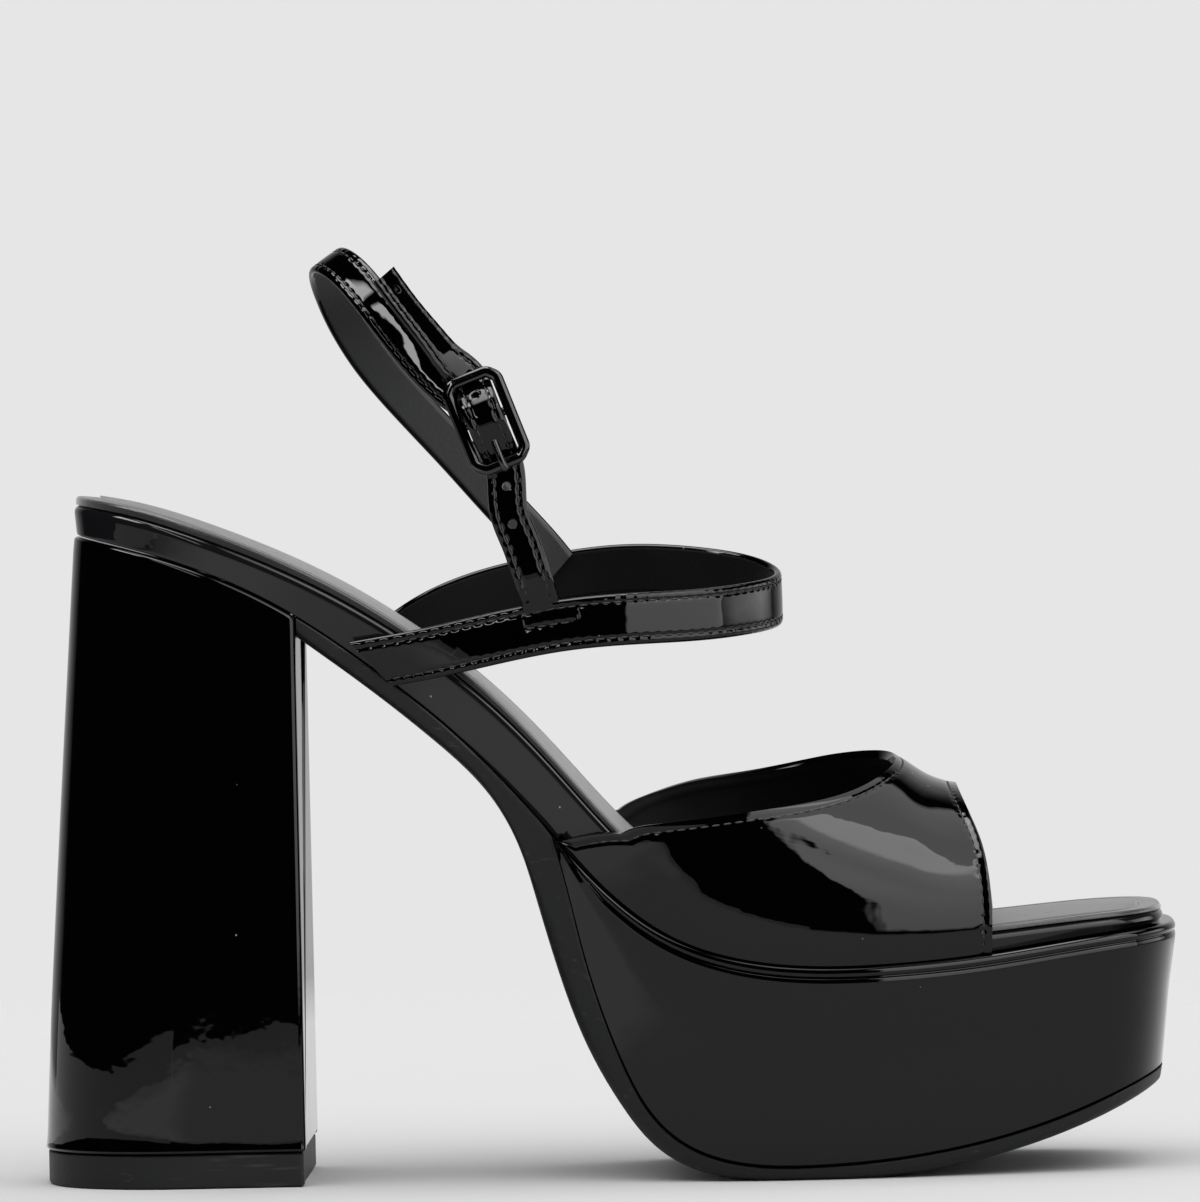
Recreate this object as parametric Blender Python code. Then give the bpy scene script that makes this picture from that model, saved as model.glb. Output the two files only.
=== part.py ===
"""Platform heel: one right sandal with a wrapped platform, a block heel, a toe vamp and buckled straps."""

import math

import bmesh
import bpy
import numpy as np
from mathutils import Vector

# Tables and sizes are in millimetres: x to the toe, y to the inner side of the foot, z up from the floor
MM = 0.001

# Clearance between neighbouring pieces
GAP = 0.3
HALF_GAP = GAP / 2

# How finely the tables' curves are followed
LINE_STEPS = 6
LINE_SAMPLES = 400

# Plan of the footbed
FOOTBED_HEEL_X = -104.7
FOOTBED_TOE_X = 111.0
HEEL_ROUND = 30.0
HEEL_POWER = 2.2
TOE_ROUND = 20.0
TOE_POWER = 3.0
# a rounded end stops short of its quarter turn and is closed by a flat face
END_TURN = 86.0

# x, outer half width, inner half width
PLAN = (
    (-105.0, 26.4, 25.4),
    (-85.0, 26.8, 25.8),
    (-62.0, 27.5, 25.0),
    (-38.0, 27.5, 22.8),
    (-15.0, 30.2, 23.0),
    (6.0, 35.2, 27.6),
    (25.0, 38.4, 33.2),
    (43.0, 38.8, 36.8),
    (62.0, 36.8, 37.6),
    (84.0, 33.4, 35.6),
    (110.0, 29.5, 32.0),
)

# x, z of the line the footbed lies on
SEAT_LINE = (
    (-106.0, 129.8),
    (-90.0, 125.9),
    (-75.0, 120.6),
    (-60.0, 112.8),
    (-45.0, 102.2),
    (-30.0, 90.0),
    (-16.0, 75.7),
    (-4.0, 62.2),
    (8.0, 51.5),
    (22.0, 45.0),
    (38.0, 42.3),
    (56.0, 42.2),
    (76.0, 43.8),
    (94.0, 46.3),
    (114.0, 48.6),
)

# x, z of the footbed's upper edge
FOOTBED_LINE = (
    (-106.0, 137.6),
    (-92.0, 135.0),
    (-78.0, 130.4),
    (-64.0, 124.6),
    (-50.0, 117.4),
    (-36.0, 108.3),
    (-22.0, 97.0),
    (-9.0, 83.4),
    (2.0, 70.8),
    (14.0, 60.0),
    (28.0, 52.8),
    (44.0, 49.0),
    (60.0, 48.0),
    (76.0, 48.9),
    (93.0, 50.5),
    (112.0, 51.8),
)
FOOTBED_DOME = 0.7
# share of the half width, share of the dome's rise there
DOME_SHOULDER = (0.55, 0.7)
# half width under which the edge's rounding shrinks
NARROW_REACH = 6.0

# in from the edge, up from the underside
FOOTBED_FOOT = (
    (1.0, 0.0),
    (0.0, 0.9),
)
# in from the edge, down from the top
FOOTBED_BROW = (
    (0.0, 2.2),
    (0.45, 0.9),
    (1.6, 0.1),
)

# x, z of the underside from the heel breast to the flat under the ball
SOLE_REAR = (
    (-59.7, 108.6),
    (-46.0, 98.3),
    (-33.0, 87.6),
    (-22.5, 77.0),
    (-16.8, 66.9),
    (-13.6, 56.8),
    (-9.5, 42.4),
    (-4.0, 27.2),
    (2.6, 15.2),
    (10.4, 6.0),
    (20.0, 1.4),
    (30.0, 0.0),
)
FLAT_END_X = 45.0
TOE_SPRING_RADIUS = 131.0
TOE_SPRING_STEPS = 12
SOLE_TOE_X = 109.9

# x, z of the joint between outsole and platform, from the waist to the toe
JOINT_LINE = (
    (-9.9, 68.4),
    (-7.1, 57.4),
    (-4.6, 46.6),
    (-2.0, 37.2),
    (1.1, 28.2),
    (4.2, 20.8),
    (8.0, 14.0),
    (13.4, 8.4),
    (20.0, 4.9),
    (28.5, 3.0),
    (40.0, 2.6),
    (56.0, 3.6),
    (72.0, 6.1),
    (88.0, 10.5),
    (99.0, 14.8),
    (110.3, 19.8),
)
WAIST_START_X = -59.7
WAIST_END_BACK_X = -11.0
WAIST_END_SOLE = 0.345
WAIST_INSET = 1.0
WAIST_INSET_RUN = 20.0
WAIST_STEPS = 14

# share of the wall height, out from the footbed edge
PLATFORM_WALL = (
    (0.0, 0.7),
    (0.35, 1.2),
    (0.7, 1.8),
    (0.93, 2.5),
    (0.985, 2.2),
    (1.0, 1.3),
)
PLATFORM_TOE_X = 113.4
PLATFORM_LOW_TOE_X = 110.3
PLATFORM_BACK_X = -9.4
TOE_LENGTH = 50.0
FORE_STEPS = 32
BALL_STEPS = 8
TOE_STEPS = 9

# share from underside to joint, out from the footbed edge
OUTSOLE_EDGE = (
    (0.0, -2.4),
    (0.3, -0.3),
    (1.0, 0.5),
)

# Block heel and its wear piece
HEEL_BREAST_X = -60.0
HEEL_TOP_BACK_X = -104.9
HEEL_FOOT_BACK_X = -113.2
HEEL_FOOT_OUTER = 29.6
HEEL_FOOT_INNER = 27.6
HEEL_LEVELS = (0.0, 0.006, 0.25, 0.5, 0.75, 1.0)
HEEL_FOOT_CHAMFER = 0.5
LIFT_HEIGHT = 6.7
LIFT_INSET = 0.5
LIFT_CHAMFER = 0.5

# Vamp
VAMP_WALL = 1.8
VAMP_BAND = 0.08
VAMP_BAND_STEPS = 2
VAMP_ROUND = 2.4
VAMP_RISE = 2.2
VAMP_RIDGE_Y = 3.0
VAMP_ALONG = 12
VAMP_OVER = 34

# share of the girth from outer base to inner base, x of the throat edge
THROAT = (
    (0.0, -8.6),
    (0.08, 2.5),
    (0.115, 11.5),
    (0.194, 31.2),
    (0.264, 45.0),
    (0.361, 55.0),
    (0.46, 58.2),
    (0.55, 56.4),
    (0.64, 48.9),
    (0.72, 38.3),
    (0.779, 28.1),
    (0.831, 17.9),
    (0.888, 7.7),
    (0.92, 2.0),
    (1.0, -9.5),
)
# share of the girth, x of the toe edge
TOE_EDGE = (
    (0.0, 76.2),
    (0.137, 76.3),
    (0.248, 74.8),
    (0.325, 72.8),
    (0.45, 70.6),
    (0.55, 70.6),
    (0.7, 73.2),
    (0.82, 76.4),
    (1.0, 78.5),
)
# x, height of the ridge over the footbed
RIDGE = (
    (-11.0, 70.5),
    (10.0, 58.0),
    (31.0, 46.0),
    (45.0, 39.8),
    (54.0, 36.0),
    (60.0, 33.0),
    (64.0, 30.2),
    (70.5, 27.6),
    (79.0, 26.4),
)

# Straps
INSTEP_WIDTH = 10.2
INSTEP_THICK = 1.8
ANKLE_WIDTH = 7.6
ANKLE_THICK = 1.6
STRAP_EDGE = 0.4
ROW_STEPS = 3

# x, y, z of the middle, turn about its own line in degrees, slant of a cut end
INSTEP_ROUTE = (
    (-45.0, -28.8, 103.2, 0.0, 3.4),
    (-36.0, -29.6, 104.6, 0.0, 1.0),
    (-22.0, -31.4, 107.4, 0.0, 0.0),
    (-8.0, -32.4, 109.9, 0.0, 0.0),
    (6.0, -31.6, 111.0, 0.0, 0.0),
    (19.0, -27.5, 111.4, 0.0, 0.0),
    (29.0, -19.0, 112.2, 0.0, 0.0),
    (34.8, -7.0, 113.3, 0.0, 0.0),
    (35.0, 5.0, 114.9, 0.0, 0.0),
    (29.0, 16.0, 117.3, 0.0, 0.0),
    (18.0, 22.5, 119.1, 0.0, 0.0),
    (4.0, 26.5, 119.7, 0.0, 0.0),
    (-12.0, 28.0, 117.8, 0.0, 0.0),
    (-27.0, 26.8, 114.2, 0.0, 0.0),
    (-37.0, 25.4, 109.6, 0.0, -1.0),
    (-45.0, 25.0, 103.6, 0.0, -3.4),
)
INSTEP_ACROSS = (0.0, 0.0, 1.0)

# Buckle place: middle of the frame and the direction of the strap through it
BUCKLE_MIDDLE = (-21.0, -36.0, 150.7)
BUCKLE_UP = (-0.353, 0.1, 0.930)
BUCKLE_ACROSS = (0.935, 0.0, 0.355)

# the ankle strap from the inner side round the back, columns as for the instep
ANKLE_ROUTE = (
    (-6.4, 27.7, 117.2, 0.0, 0.0),
    (-11.2, 28.2, 123.6, 0.0, 0.0),
    (-19.6, 28.8, 132.9, 4.0, 0.0),
    (-28.9, 27.8, 143.3, 8.0, 0.0),
    (-37.5, 25.2, 153.0, 12.0, 0.0),
    (-45.2, 20.5, 162.7, 14.0, 0.0),
    (-50.8, 12.8, 172.7, 16.0, 0.0),
    (-53.4, 2.0, 180.5, 16.0, 0.0),
    (-52.4, -9.0, 183.2, 14.0, 0.0),
    (-48.0, -18.6, 180.6, 10.0, 0.0),
)
# its buckle end, in the buckle's own up, across and out directions
ANKLE_END = (
    (27.0, -10.9, -6.5, 6.0, 0.0),
    (16.0, -7.6, -5.0, 2.0, 0.0),
    (9.0, -4.5, -4.3, 0.0, 0.0),
    (5.0, -2.0, -3.6, 0.0, 0.0),
    (2.6, -0.5, -2.9, 0.0, 0.0),
)
# the fold round the centre bar: from straight below it, over it and a little past
FOLD_FROM = -90.0
FOLD_TO = -290.0
FOLD_STEPS = 7

# the buckle strap from the instep strap up to the buckle, columns as for the instep
BUCKLE_ROUTE = (
    (-10.2, -32.3, 108.6, 0.0, 0.0),
    (-11.4, -32.35, 115.5, 0.0, 0.0),
    (-13.2, -33.5, 121.2, 0.0, 0.0),
    (-14.9, -34.8, 126.6, 0.0, 0.0),
    (-16.9, -35.2, 132.5, 0.0, 0.0),
)
# its way through the buckle and the free end, in the buckle's own directions
BUCKLE_THREAD = (
    (-13.0, -1.0, -2.7, 0.0, 0.0),
    (-9.2, 0.0, -2.3, 0.0, 0.0),
    (-6.2, 0.0, -0.4, 0.0, 0.0),
    (-2.4, 0.0, 2.75, 0.0, 0.0),
    (0.5, 0.0, 3.4, 0.0, 0.0),
    (3.4, 0.0, 2.6, 0.0, 0.0),
    (6.7, 0.0, -0.5, 0.0, 0.0),
    (9.2, -0.2, -2.3, 0.0, 0.0),
    (13.0, -1.8, -2.0, 12.0, 0.0),
    (19.0, -3.8, -0.9, 34.0, 0.0),
    (27.0, -6.2, -0.6, 48.0, 0.0),
    (34.4, -8.1, -0.6, 50.0, -0.6),
)

# Buckle
FRAME_HALF_UP = 9.2
FRAME_HALF_ACROSS = 5.3
FRAME_CORNER = 2.5
FRAME_WIRE = 0.95
FRAME_SIDES = 8
CORNER_STEPS = 3
BAR_UP = 0.5
BAR_OUT = -0.6
BAR_RADIUS = 0.85
PRONG_RADIUS = 0.65
PRONG_STEPS = 2

# up, out of the prong's middle, from behind the centre bar to the lower bar
PRONG_ROUTE = (
    (2.28, -1.0),
    (2.2, 0.05),
    (1.5, 0.95),
    (0.4, 1.25),
    (-2.0, 1.5),
    (-5.0, 1.8),
    (-8.0, 2.05),
    (-9.6, 1.95),
    (-10.9, 1.4),
)
# slots that the prong stands in: low up, high up, half across, low out, high out
STRAP_SLOT = (-8.0, -0.9, 1.15, 0.55, 2.75)
FOLD_SLOT = (-3.0, 3.9, 1.15, -1.95, 2.4)

# Punched holes of the buckle strap below the buckle
HOLE_RADIUS = 0.9
HOLE_SIDES = 8
HOLE_LENGTH = 6.0
# x, y, z of a hole's middle
LOWER_HOLES = (
    (-15.9, -35.1, 130.4),
    (-17.4, -35.0, 136.6),
)


def natural_cubic(knots, values):
    """Smooth curve through rows of values."""
    knots = np.asarray(knots, float)
    values = np.asarray(values, float).reshape(len(knots), -1)
    step = np.diff(knots)
    system = np.eye(len(knots))
    pull = np.zeros_like(values)
    for i in range(1, len(knots) - 1):
        system[i, i - 1 : i + 2] = step[i - 1], 2 * (step[i - 1] + step[i]), step[i]
        pull[i] = 6 * ((values[i + 1] - values[i]) / step[i] - (values[i] - values[i - 1]) / step[i - 1])
    bend = np.linalg.solve(system, pull)

    def at(t):
        i = int(np.clip(np.searchsorted(knots, t) - 1, 0, len(step) - 1))
        a = (knots[i + 1] - t) / step[i]
        b = (t - knots[i]) / step[i]
        lift = ((a**3 - a) * bend[i] + (b**3 - b) * bend[i + 1]) * step[i] ** 2 / 6
        return a * values[i] + b * values[i + 1] + lift

    return at


def column_curve(rows, column):
    """One column of a table as a smooth function of its first column."""
    curve = natural_cubic([row[0] for row in rows], [row[column] for row in rows])
    return lambda t: float(curve(t)[0])


def curve_points(rows, steps):
    """Points on a smooth curve through the rows, a few in each interval."""
    rows = np.asarray(rows, float)
    chords = np.linalg.norm(np.diff(rows[:, :3], axis=0), axis=1)
    knots = np.concatenate(([0.0], np.cumsum(chords)))
    curve = natural_cubic(knots, rows)
    places = [
        knots[i] + (knots[i + 1] - knots[i]) * k / steps for i in range(len(chords)) for k in range(steps)
    ]
    return np.array([curve(t) for t in places + [knots[-1]]])


def by_length(points):
    """A polyline as a function of the share of its length."""
    points = np.asarray(points, float)
    length = np.concatenate(([0.0], np.cumsum(np.linalg.norm(np.diff(points, axis=0), axis=1))))
    length /= length[-1]
    return lambda t: np.array([np.interp(t, length, points[:, k]) for k in range(points.shape[1])])


def round_shares(count, power):
    """Shares that bunch up towards a rounded end."""
    return [math.sin(math.radians(END_TURN * k / count)) ** (2 / power) for k in range(1, count + 1)]


outer_width = column_curve(PLAN, 1)
inner_width = column_curve(PLAN, 2)
seat_z = column_curve(SEAT_LINE, 1)
footbed_z = column_curve(FOOTBED_LINE, 1)


def end_factor(x, heel_x, toe_x):
    """How far the plan has closed in at a rounded heel or a square toe."""
    heel = (heel_x + HEEL_ROUND - x) / HEEL_ROUND
    if heel > 0:
        return (1 - min(heel, 1) ** HEEL_POWER) ** (1 / HEEL_POWER)
    toe = (x - toe_x + TOE_ROUND) / TOE_ROUND
    if toe > 0:
        return (1 - min(toe, 1) ** TOE_POWER) ** (1 / TOE_POWER)
    return 1.0


def plan_y(x, side, outset=0.0, heel_x=FOOTBED_HEEL_X, toe_x=FOOTBED_TOE_X):
    """Edge of the plan on the outer (-1) or inner (1) side."""
    width = outer_width(x) if side < 0 else inner_width(x)
    return side * (width + outset) * end_factor(x, heel_x, toe_x)


def material(name, colour, roughness, metallic=0.0):
    made = bpy.data.materials.new(name)
    made.use_nodes = True
    shader = made.node_tree.nodes["Principled BSDF"]
    shader.inputs["Base Color"].default_value = (*colour, 1.0)
    shader.inputs["Roughness"].default_value = roughness
    shader.inputs["Metallic"].default_value = metallic
    return made


def add_object(name, mesh_data, made_of):
    mesh = bpy.data.meshes.new(name)
    bmesh.ops.recalc_face_normals(mesh_data, faces=mesh_data.faces)
    mesh_data.to_mesh(mesh)
    mesh_data.free()
    piece = bpy.data.objects.new(name, mesh)
    bpy.context.scene.collection.objects.link(piece)
    mesh.materials.append(made_of)
    return piece


def skin(rings, capped_across=False, closed=False):
    """Faces between rings of points, with the ends closed or joined to each other."""
    made = bmesh.new()
    loops = [[made.verts.new(Vector(point) * MM) for point in ring] for ring in rings]
    size = len(loops[0])
    pairs = list(zip(loops, loops[1:]))
    if closed:
        pairs.append((loops[-1], loops[0]))
    for near, far in pairs:
        for i in range(size):
            j = (i + 1) % size
            made.faces.new((near[i], near[j], far[j], far[i]))
    if closed:
        return made
    for loop in (loops[0], loops[-1]):
        if capped_across:
            for i in range(size // 2 - 1):
                made.faces.new((loop[i], loop[i + 1], loop[size - 2 - i], loop[size - 1 - i]))
        else:
            made.faces.new(loop)
    return made


# Outsole


def sole_underside():
    rear = curve_points(SOLE_REAR, LINE_STEPS)
    turn = math.asin((SOLE_TOE_X - FLAT_END_X) / TOE_SPRING_RADIUS)
    toe = []
    for k in range(TOE_SPRING_STEPS + 1):
        angle = turn * k / TOE_SPRING_STEPS
        x = FLAT_END_X + TOE_SPRING_RADIUS * math.sin(angle)
        z = TOE_SPRING_RADIUS * (1 - math.cos(angle))
        toe.append((x, z))
    return by_length([*rear, *toe])


def paired_line(points, toe_x):
    """Stations from the waist to the toe: by length up to the ball, then level with the toe end."""
    points = np.asarray(points, float)
    ball_x = toe_x - TOE_LENGTH
    ball = (ball_x, np.interp(ball_x, points[:, 0], points[:, 1]))
    rear = by_length([*points[points[:, 0] < ball_x], ball])
    turn_x = toe_x - TOE_ROUND
    xs = list(np.linspace(ball_x, turn_x, BALL_STEPS + 1))[1:]
    xs += [turn_x + TOE_ROUND * share for share in round_shares(TOE_STEPS, TOE_POWER)]
    fore = [(x, np.interp(x, points[:, 0], points[:, 1])) for x in xs]
    return np.array([*(rear(k / FORE_STEPS) for k in range(FORE_STEPS + 1)), *fore])


def outsole_rings():
    underside = sole_underside()
    shares = np.linspace(0.0, 1.0, LINE_SAMPLES)
    stations = []
    for k in range(WAIST_STEPS):
        share = k / WAIST_STEPS
        x = WAIST_START_X + (WAIST_END_BACK_X - WAIST_START_X) * share
        stations.append((underside(WAIST_END_SOLE * share), np.array((x, seat_z(x) - HALF_GAP))))
    low_line = [underside(WAIST_END_SOLE + (1 - WAIST_END_SOLE) * share) for share in shares]
    lows = paired_line(low_line, SOLE_TOE_X)
    highs = paired_line(curve_points(JOINT_LINE, LINE_STEPS), PLATFORM_LOW_TOE_X)
    stations += [(low, high - (0.0, HALF_GAP)) for low, high in zip(lows, highs)]
    rings = []
    for low, high in stations:
        sides = []
        for side in (-1, 1):
            edge = []
            for share, outset in OUTSOLE_EDGE:
                x, z = low + (high - low) * share
                toe_x = SOLE_TOE_X + (PLATFORM_LOW_TOE_X - SOLE_TOE_X) * share
                inset = WAIST_INSET * np.clip((WAIST_END_BACK_X - x) / WAIST_INSET_RUN, 0.0, 1.0)
                edge.append((x, plan_y(x, side, outset - inset, toe_x=toe_x), z))
            sides.append(edge)
        rings.append(sides[0] + sides[1][::-1])
    return rings


# Platform


def platform_rings():
    xs = np.linspace(PLATFORM_BACK_X, PLATFORM_TOE_X, LINE_SAMPLES)
    highs = paired_line([(x, seat_z(x) - HALF_GAP) for x in xs], PLATFORM_TOE_X)
    lows = paired_line(curve_points(JOINT_LINE, LINE_STEPS), PLATFORM_LOW_TOE_X)
    rings = []
    for number, (low, high) in enumerate(zip(lows, highs)):
        steep = max(0.0, 1 - number / FORE_STEPS)
        low = low + (HALF_GAP * steep, HALF_GAP)
        sides = []
        for side in (-1, 1):
            wall = []
            for up, outset in PLATFORM_WALL:
                x, z = low + (high - low) * up
                toe_x = PLATFORM_LOW_TOE_X + (PLATFORM_TOE_X - PLATFORM_LOW_TOE_X) * up
                wall.append((x, plan_y(x, side, outset, toe_x=toe_x), z))
            sides.append(wall)
        rings.append(sides[0] + sides[1][::-1])
    return rings


# Block heel and top lift


def heel_plan(x, side, up, outset=0.0):
    """Edge of the heel at a share of its height."""
    heel_x = HEEL_FOOT_BACK_X + (HEEL_TOP_BACK_X - HEEL_FOOT_BACK_X) * up - outset
    foot = HEEL_FOOT_OUTER if side < 0 else HEEL_FOOT_INNER
    top = outer_width(x) if side < 0 else inner_width(x)
    width = foot + (top - foot) * up + outset
    return side * width * end_factor(x, heel_x, FOOTBED_TOE_X)


def heel_ring(up, z_at, outset=0.0):
    straight_steps, round_steps = 4, 11
    back_x = HEEL_FOOT_BACK_X + (HEEL_TOP_BACK_X - HEEL_FOOT_BACK_X) * up - outset
    breast_x = HEEL_BREAST_X + outset
    turn_x = back_x + HEEL_ROUND
    xs = [breast_x + (turn_x - breast_x) * k / straight_steps for k in range(straight_steps + 1)]
    xs += [turn_x + (back_x - turn_x) * share for share in round_shares(round_steps, HEEL_POWER)]
    outer = [(x, heel_plan(x, -1, up, outset), z_at(x)) for x in xs]
    inner = [(x, heel_plan(x, 1, up, outset), z_at(x)) for x in xs]
    return outer + inner[::-1]


def heel_rings():
    foot_z = LIFT_HEIGHT + GAP
    top = heel_ring(1.0, lambda x: seat_z(x) - HALF_GAP)
    rings = []
    for up in HEEL_LEVELS:
        outset = -HEEL_FOOT_CHAMFER if up == 0 else 0.0
        ring = heel_ring(up, lambda x: foot_z, outset)
        rings.append([(x, y, foot_z + (t[2] - foot_z) * up) for (x, y, z), t in zip(ring, top)])
    return rings


def lift_rings():
    levels = (
        (0.0, LIFT_INSET + LIFT_CHAMFER),
        (LIFT_CHAMFER, LIFT_INSET),
        (LIFT_HEIGHT, LIFT_INSET),
    )
    return [heel_ring(0.0, lambda x, z=z: z, -inset) for z, inset in levels]


# Insole


def insole_rings():
    heel_steps, middle_steps, toe_steps = 9, 40, 8
    heel_turn = FOOTBED_HEEL_X + HEEL_ROUND
    toe_turn = FOOTBED_TOE_X - TOE_ROUND
    xs = [heel_turn - HEEL_ROUND * s for s in round_shares(heel_steps, HEEL_POWER)][::-1]
    xs += [heel_turn + (toe_turn - heel_turn) * k / middle_steps for k in range(middle_steps + 1)]
    xs += [toe_turn + TOE_ROUND * s for s in round_shares(toe_steps, TOE_POWER)]
    rings = []
    for x in xs:
        low = seat_z(x) + HALF_GAP
        top = footbed_z(x)
        sides = []
        for side in (-1, 1):
            reach = abs(plan_y(x, side))
            snug = min(1.0, reach / NARROW_REACH)
            edge = [(x, side * (reach - inset * snug), low + up) for inset, up in FOOTBED_FOOT]
            edge += [(x, side * (reach - inset * snug), top - down) for inset, down in FOOTBED_BROW]
            shoulder, rise = DOME_SHOULDER
            edge.append((x, side * reach * shoulder, top + FOOTBED_DOME * rise))
            sides.append(edge)
        rings.append(sides[0] + [(x, 0.0, top + FOOTBED_DOME)] + sides[1][::-1])
    return rings


# Vamp

throat_x = column_curve(THROAT, 1)
toe_edge_x = column_curve(TOE_EDGE, 1)
ridge_height = column_curve(RIDGE, 1)


def vamp_point(x, girth):
    """A point on the outside of the vamp: rand band, then over the last's section."""
    outset = VAMP_WALL + GAP
    base_z = seat_z(x) + HALF_GAP
    edge_z = footbed_z(x)
    side = -1 if girth < 0.5 else 1
    edge_y = plan_y(x, side, outset)
    from_base = min(girth, 1 - girth)
    if from_base < VAMP_BAND:
        return x, edge_y, base_z + (edge_z - base_z) * from_base / VAMP_BAND
    angle = math.pi * (from_base - VAMP_BAND) / (1 - 2 * VAMP_BAND)
    reach = math.cos(angle) ** (2 / VAMP_ROUND) if angle < math.pi / 2 else 0.0
    y = VAMP_RIDGE_Y + (edge_y - VAMP_RIDGE_Y) * reach
    return x, y, edge_z + ridge_height(x) * math.sin(angle) ** (2 / VAMP_RISE)


def vamp_sheet():
    made = bmesh.new()
    band = [VAMP_BAND * k / VAMP_BAND_STEPS for k in range(VAMP_BAND_STEPS)]
    shares = list(band)
    shares += [VAMP_BAND + (1 - 2 * VAMP_BAND) * k / VAMP_OVER for k in range(VAMP_OVER + 1)]
    shares += [1 - share for share in reversed(band)]
    rows = []
    for girth in shares:
        start, end = throat_x(girth), toe_edge_x(girth)
        xs = [start + (end - start) * k / VAMP_ALONG for k in range(VAMP_ALONG + 1)]
        rows.append([made.verts.new(Vector(vamp_point(x, girth)) * MM) for x in xs])
    for near, far in zip(rows, rows[1:]):
        for i in range(VAMP_ALONG):
            made.faces.new((near[i], near[i + 1], far[i + 1], far[i]))
    return made


# Straps


def strap_rings(route, across_hint, width, thick):
    """Rounded flat sections along a route of x, y, z, turn and slant."""
    points = curve_points(route, ROW_STEPS)
    middle = points[:, :3]
    ahead = np.gradient(middle, axis=0)
    ahead /= np.linalg.norm(ahead, axis=1)[:, None]
    half_w, half_t, edge = width / 2, thick / 2, STRAP_EDGE
    section = (
        (-half_w + edge, -half_t),
        (half_w - edge, -half_t),
        (half_w, -half_t + edge),
        (half_w, half_t - edge),
        (half_w - edge, half_t),
        (-half_w + edge, half_t),
        (-half_w, half_t - edge),
        (-half_w, -half_t + edge),
    )
    rings = []
    for place, along, turn, slant in zip(middle, ahead, points[:, 3], points[:, 4]):
        hint = np.asarray(across_hint, float)
        across = hint - along * hint.dot(along)
        across /= np.linalg.norm(across)
        out = np.cross(along, across)
        angle = math.radians(turn)
        wide = across * math.cos(angle) + out * math.sin(angle)
        deep = out * math.cos(angle) - across * math.sin(angle)
        rings.append([tuple(place + wide * a + deep * b - along * slant * a / half_w) for a, b in section])
    return rings


buckle_up = np.asarray(BUCKLE_UP) / np.linalg.norm(BUCKLE_UP)
buckle_across = np.asarray(BUCKLE_ACROSS) / np.linalg.norm(BUCKLE_ACROSS)
buckle_out = np.cross(buckle_across, buckle_up)


def at_buckle(up, across, out):
    return np.asarray(BUCKLE_MIDDLE) + up * buckle_up + across * buckle_across + out * buckle_out


def buckle_rows(rows):
    return [(*at_buckle(*row[:3]), *row[3:]) for row in rows]


def ankle_route():
    fold_radius = BAR_RADIUS + GAP + ANKLE_THICK / 2
    fold = []
    for k in range(FOLD_STEPS + 1):
        angle = math.radians(FOLD_FROM + (FOLD_TO - FOLD_FROM) * k / FOLD_STEPS)
        up = BAR_UP + fold_radius * math.cos(angle)
        out = BAR_OUT + fold_radius * math.sin(angle)
        fold.append((up, 0.0, out, 0.0, 0.0))
    return list(ANKLE_ROUTE) + buckle_rows(ANKLE_END + tuple(fold))


def cutter_box(name, low_up, high_up, half_across, low_out, high_out):
    ring = ((-half_across, low_out), (half_across, low_out), (half_across, high_out), (-half_across, high_out))
    rings = [[at_buckle(up, across, out) for across, out in ring] for up in (low_up, high_up)]
    return add_cutter(name, skin(rings))


def add_cutter(name, made):
    piece = add_object(name, made, bpy.data.materials["patent"])
    piece.hide_render = True
    piece.display_type = "WIRE"
    return piece


def combine(piece, other, operation):
    step = piece.modifiers.new(f"{operation.lower()}_{other.name}", "BOOLEAN")
    step.operation = operation
    step.solver = "EXACT"
    step.object = other


def punched_hole(name, middle):
    rings = []
    for out in (-HOLE_LENGTH / 2, HOLE_LENGTH / 2):
        ring = []
        for k in range(HOLE_SIDES):
            angle = 2 * math.pi * k / HOLE_SIDES
            spoke = buckle_up * math.cos(angle) + buckle_across * math.sin(angle)
            ring.append(tuple(np.asarray(middle) + spoke * HOLE_RADIUS + buckle_out * out))
        rings.append(ring)
    return add_cutter(name, skin(rings))


# Buckle


def frame_rings():
    corners = ((1, 1, 0.0), (-1, 1, 90.0), (-1, -1, 180.0), (1, -1, 270.0))
    rings = []
    for up_side, across_side, start in corners:
        middle_up = up_side * (FRAME_HALF_UP - FRAME_CORNER)
        middle_across = across_side * (FRAME_HALF_ACROSS - FRAME_CORNER)
        for k in range(CORNER_STEPS + 1):
            angle = math.radians(start + 90.0 * k / CORNER_STEPS)
            spoke_up, spoke_across = math.cos(angle), math.sin(angle)
            ring = []
            for n in range(FRAME_SIDES):
                round_angle = 2 * math.pi * (n + 0.5) / FRAME_SIDES
                reach = FRAME_CORNER + FRAME_WIRE * math.cos(round_angle)
                out = FRAME_WIRE * math.sin(round_angle)
                ring.append(at_buckle(middle_up + spoke_up * reach, middle_across + spoke_across * reach, out))
            rings.append(ring)
    return rings


def round_ring(middle, first, second, radius, sides):
    turns = [2 * math.pi * (n + 0.5) / sides for n in range(sides)]
    return [tuple(middle + radius * (first * math.cos(a) + second * math.sin(a))) for a in turns]


def bar_rings():
    ends = (-FRAME_HALF_ACROSS, FRAME_HALF_ACROSS)
    return [
        round_ring(at_buckle(BAR_UP, end, BAR_OUT), buckle_up, buckle_out, BAR_RADIUS, FRAME_SIDES)
        for end in ends
    ]


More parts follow.
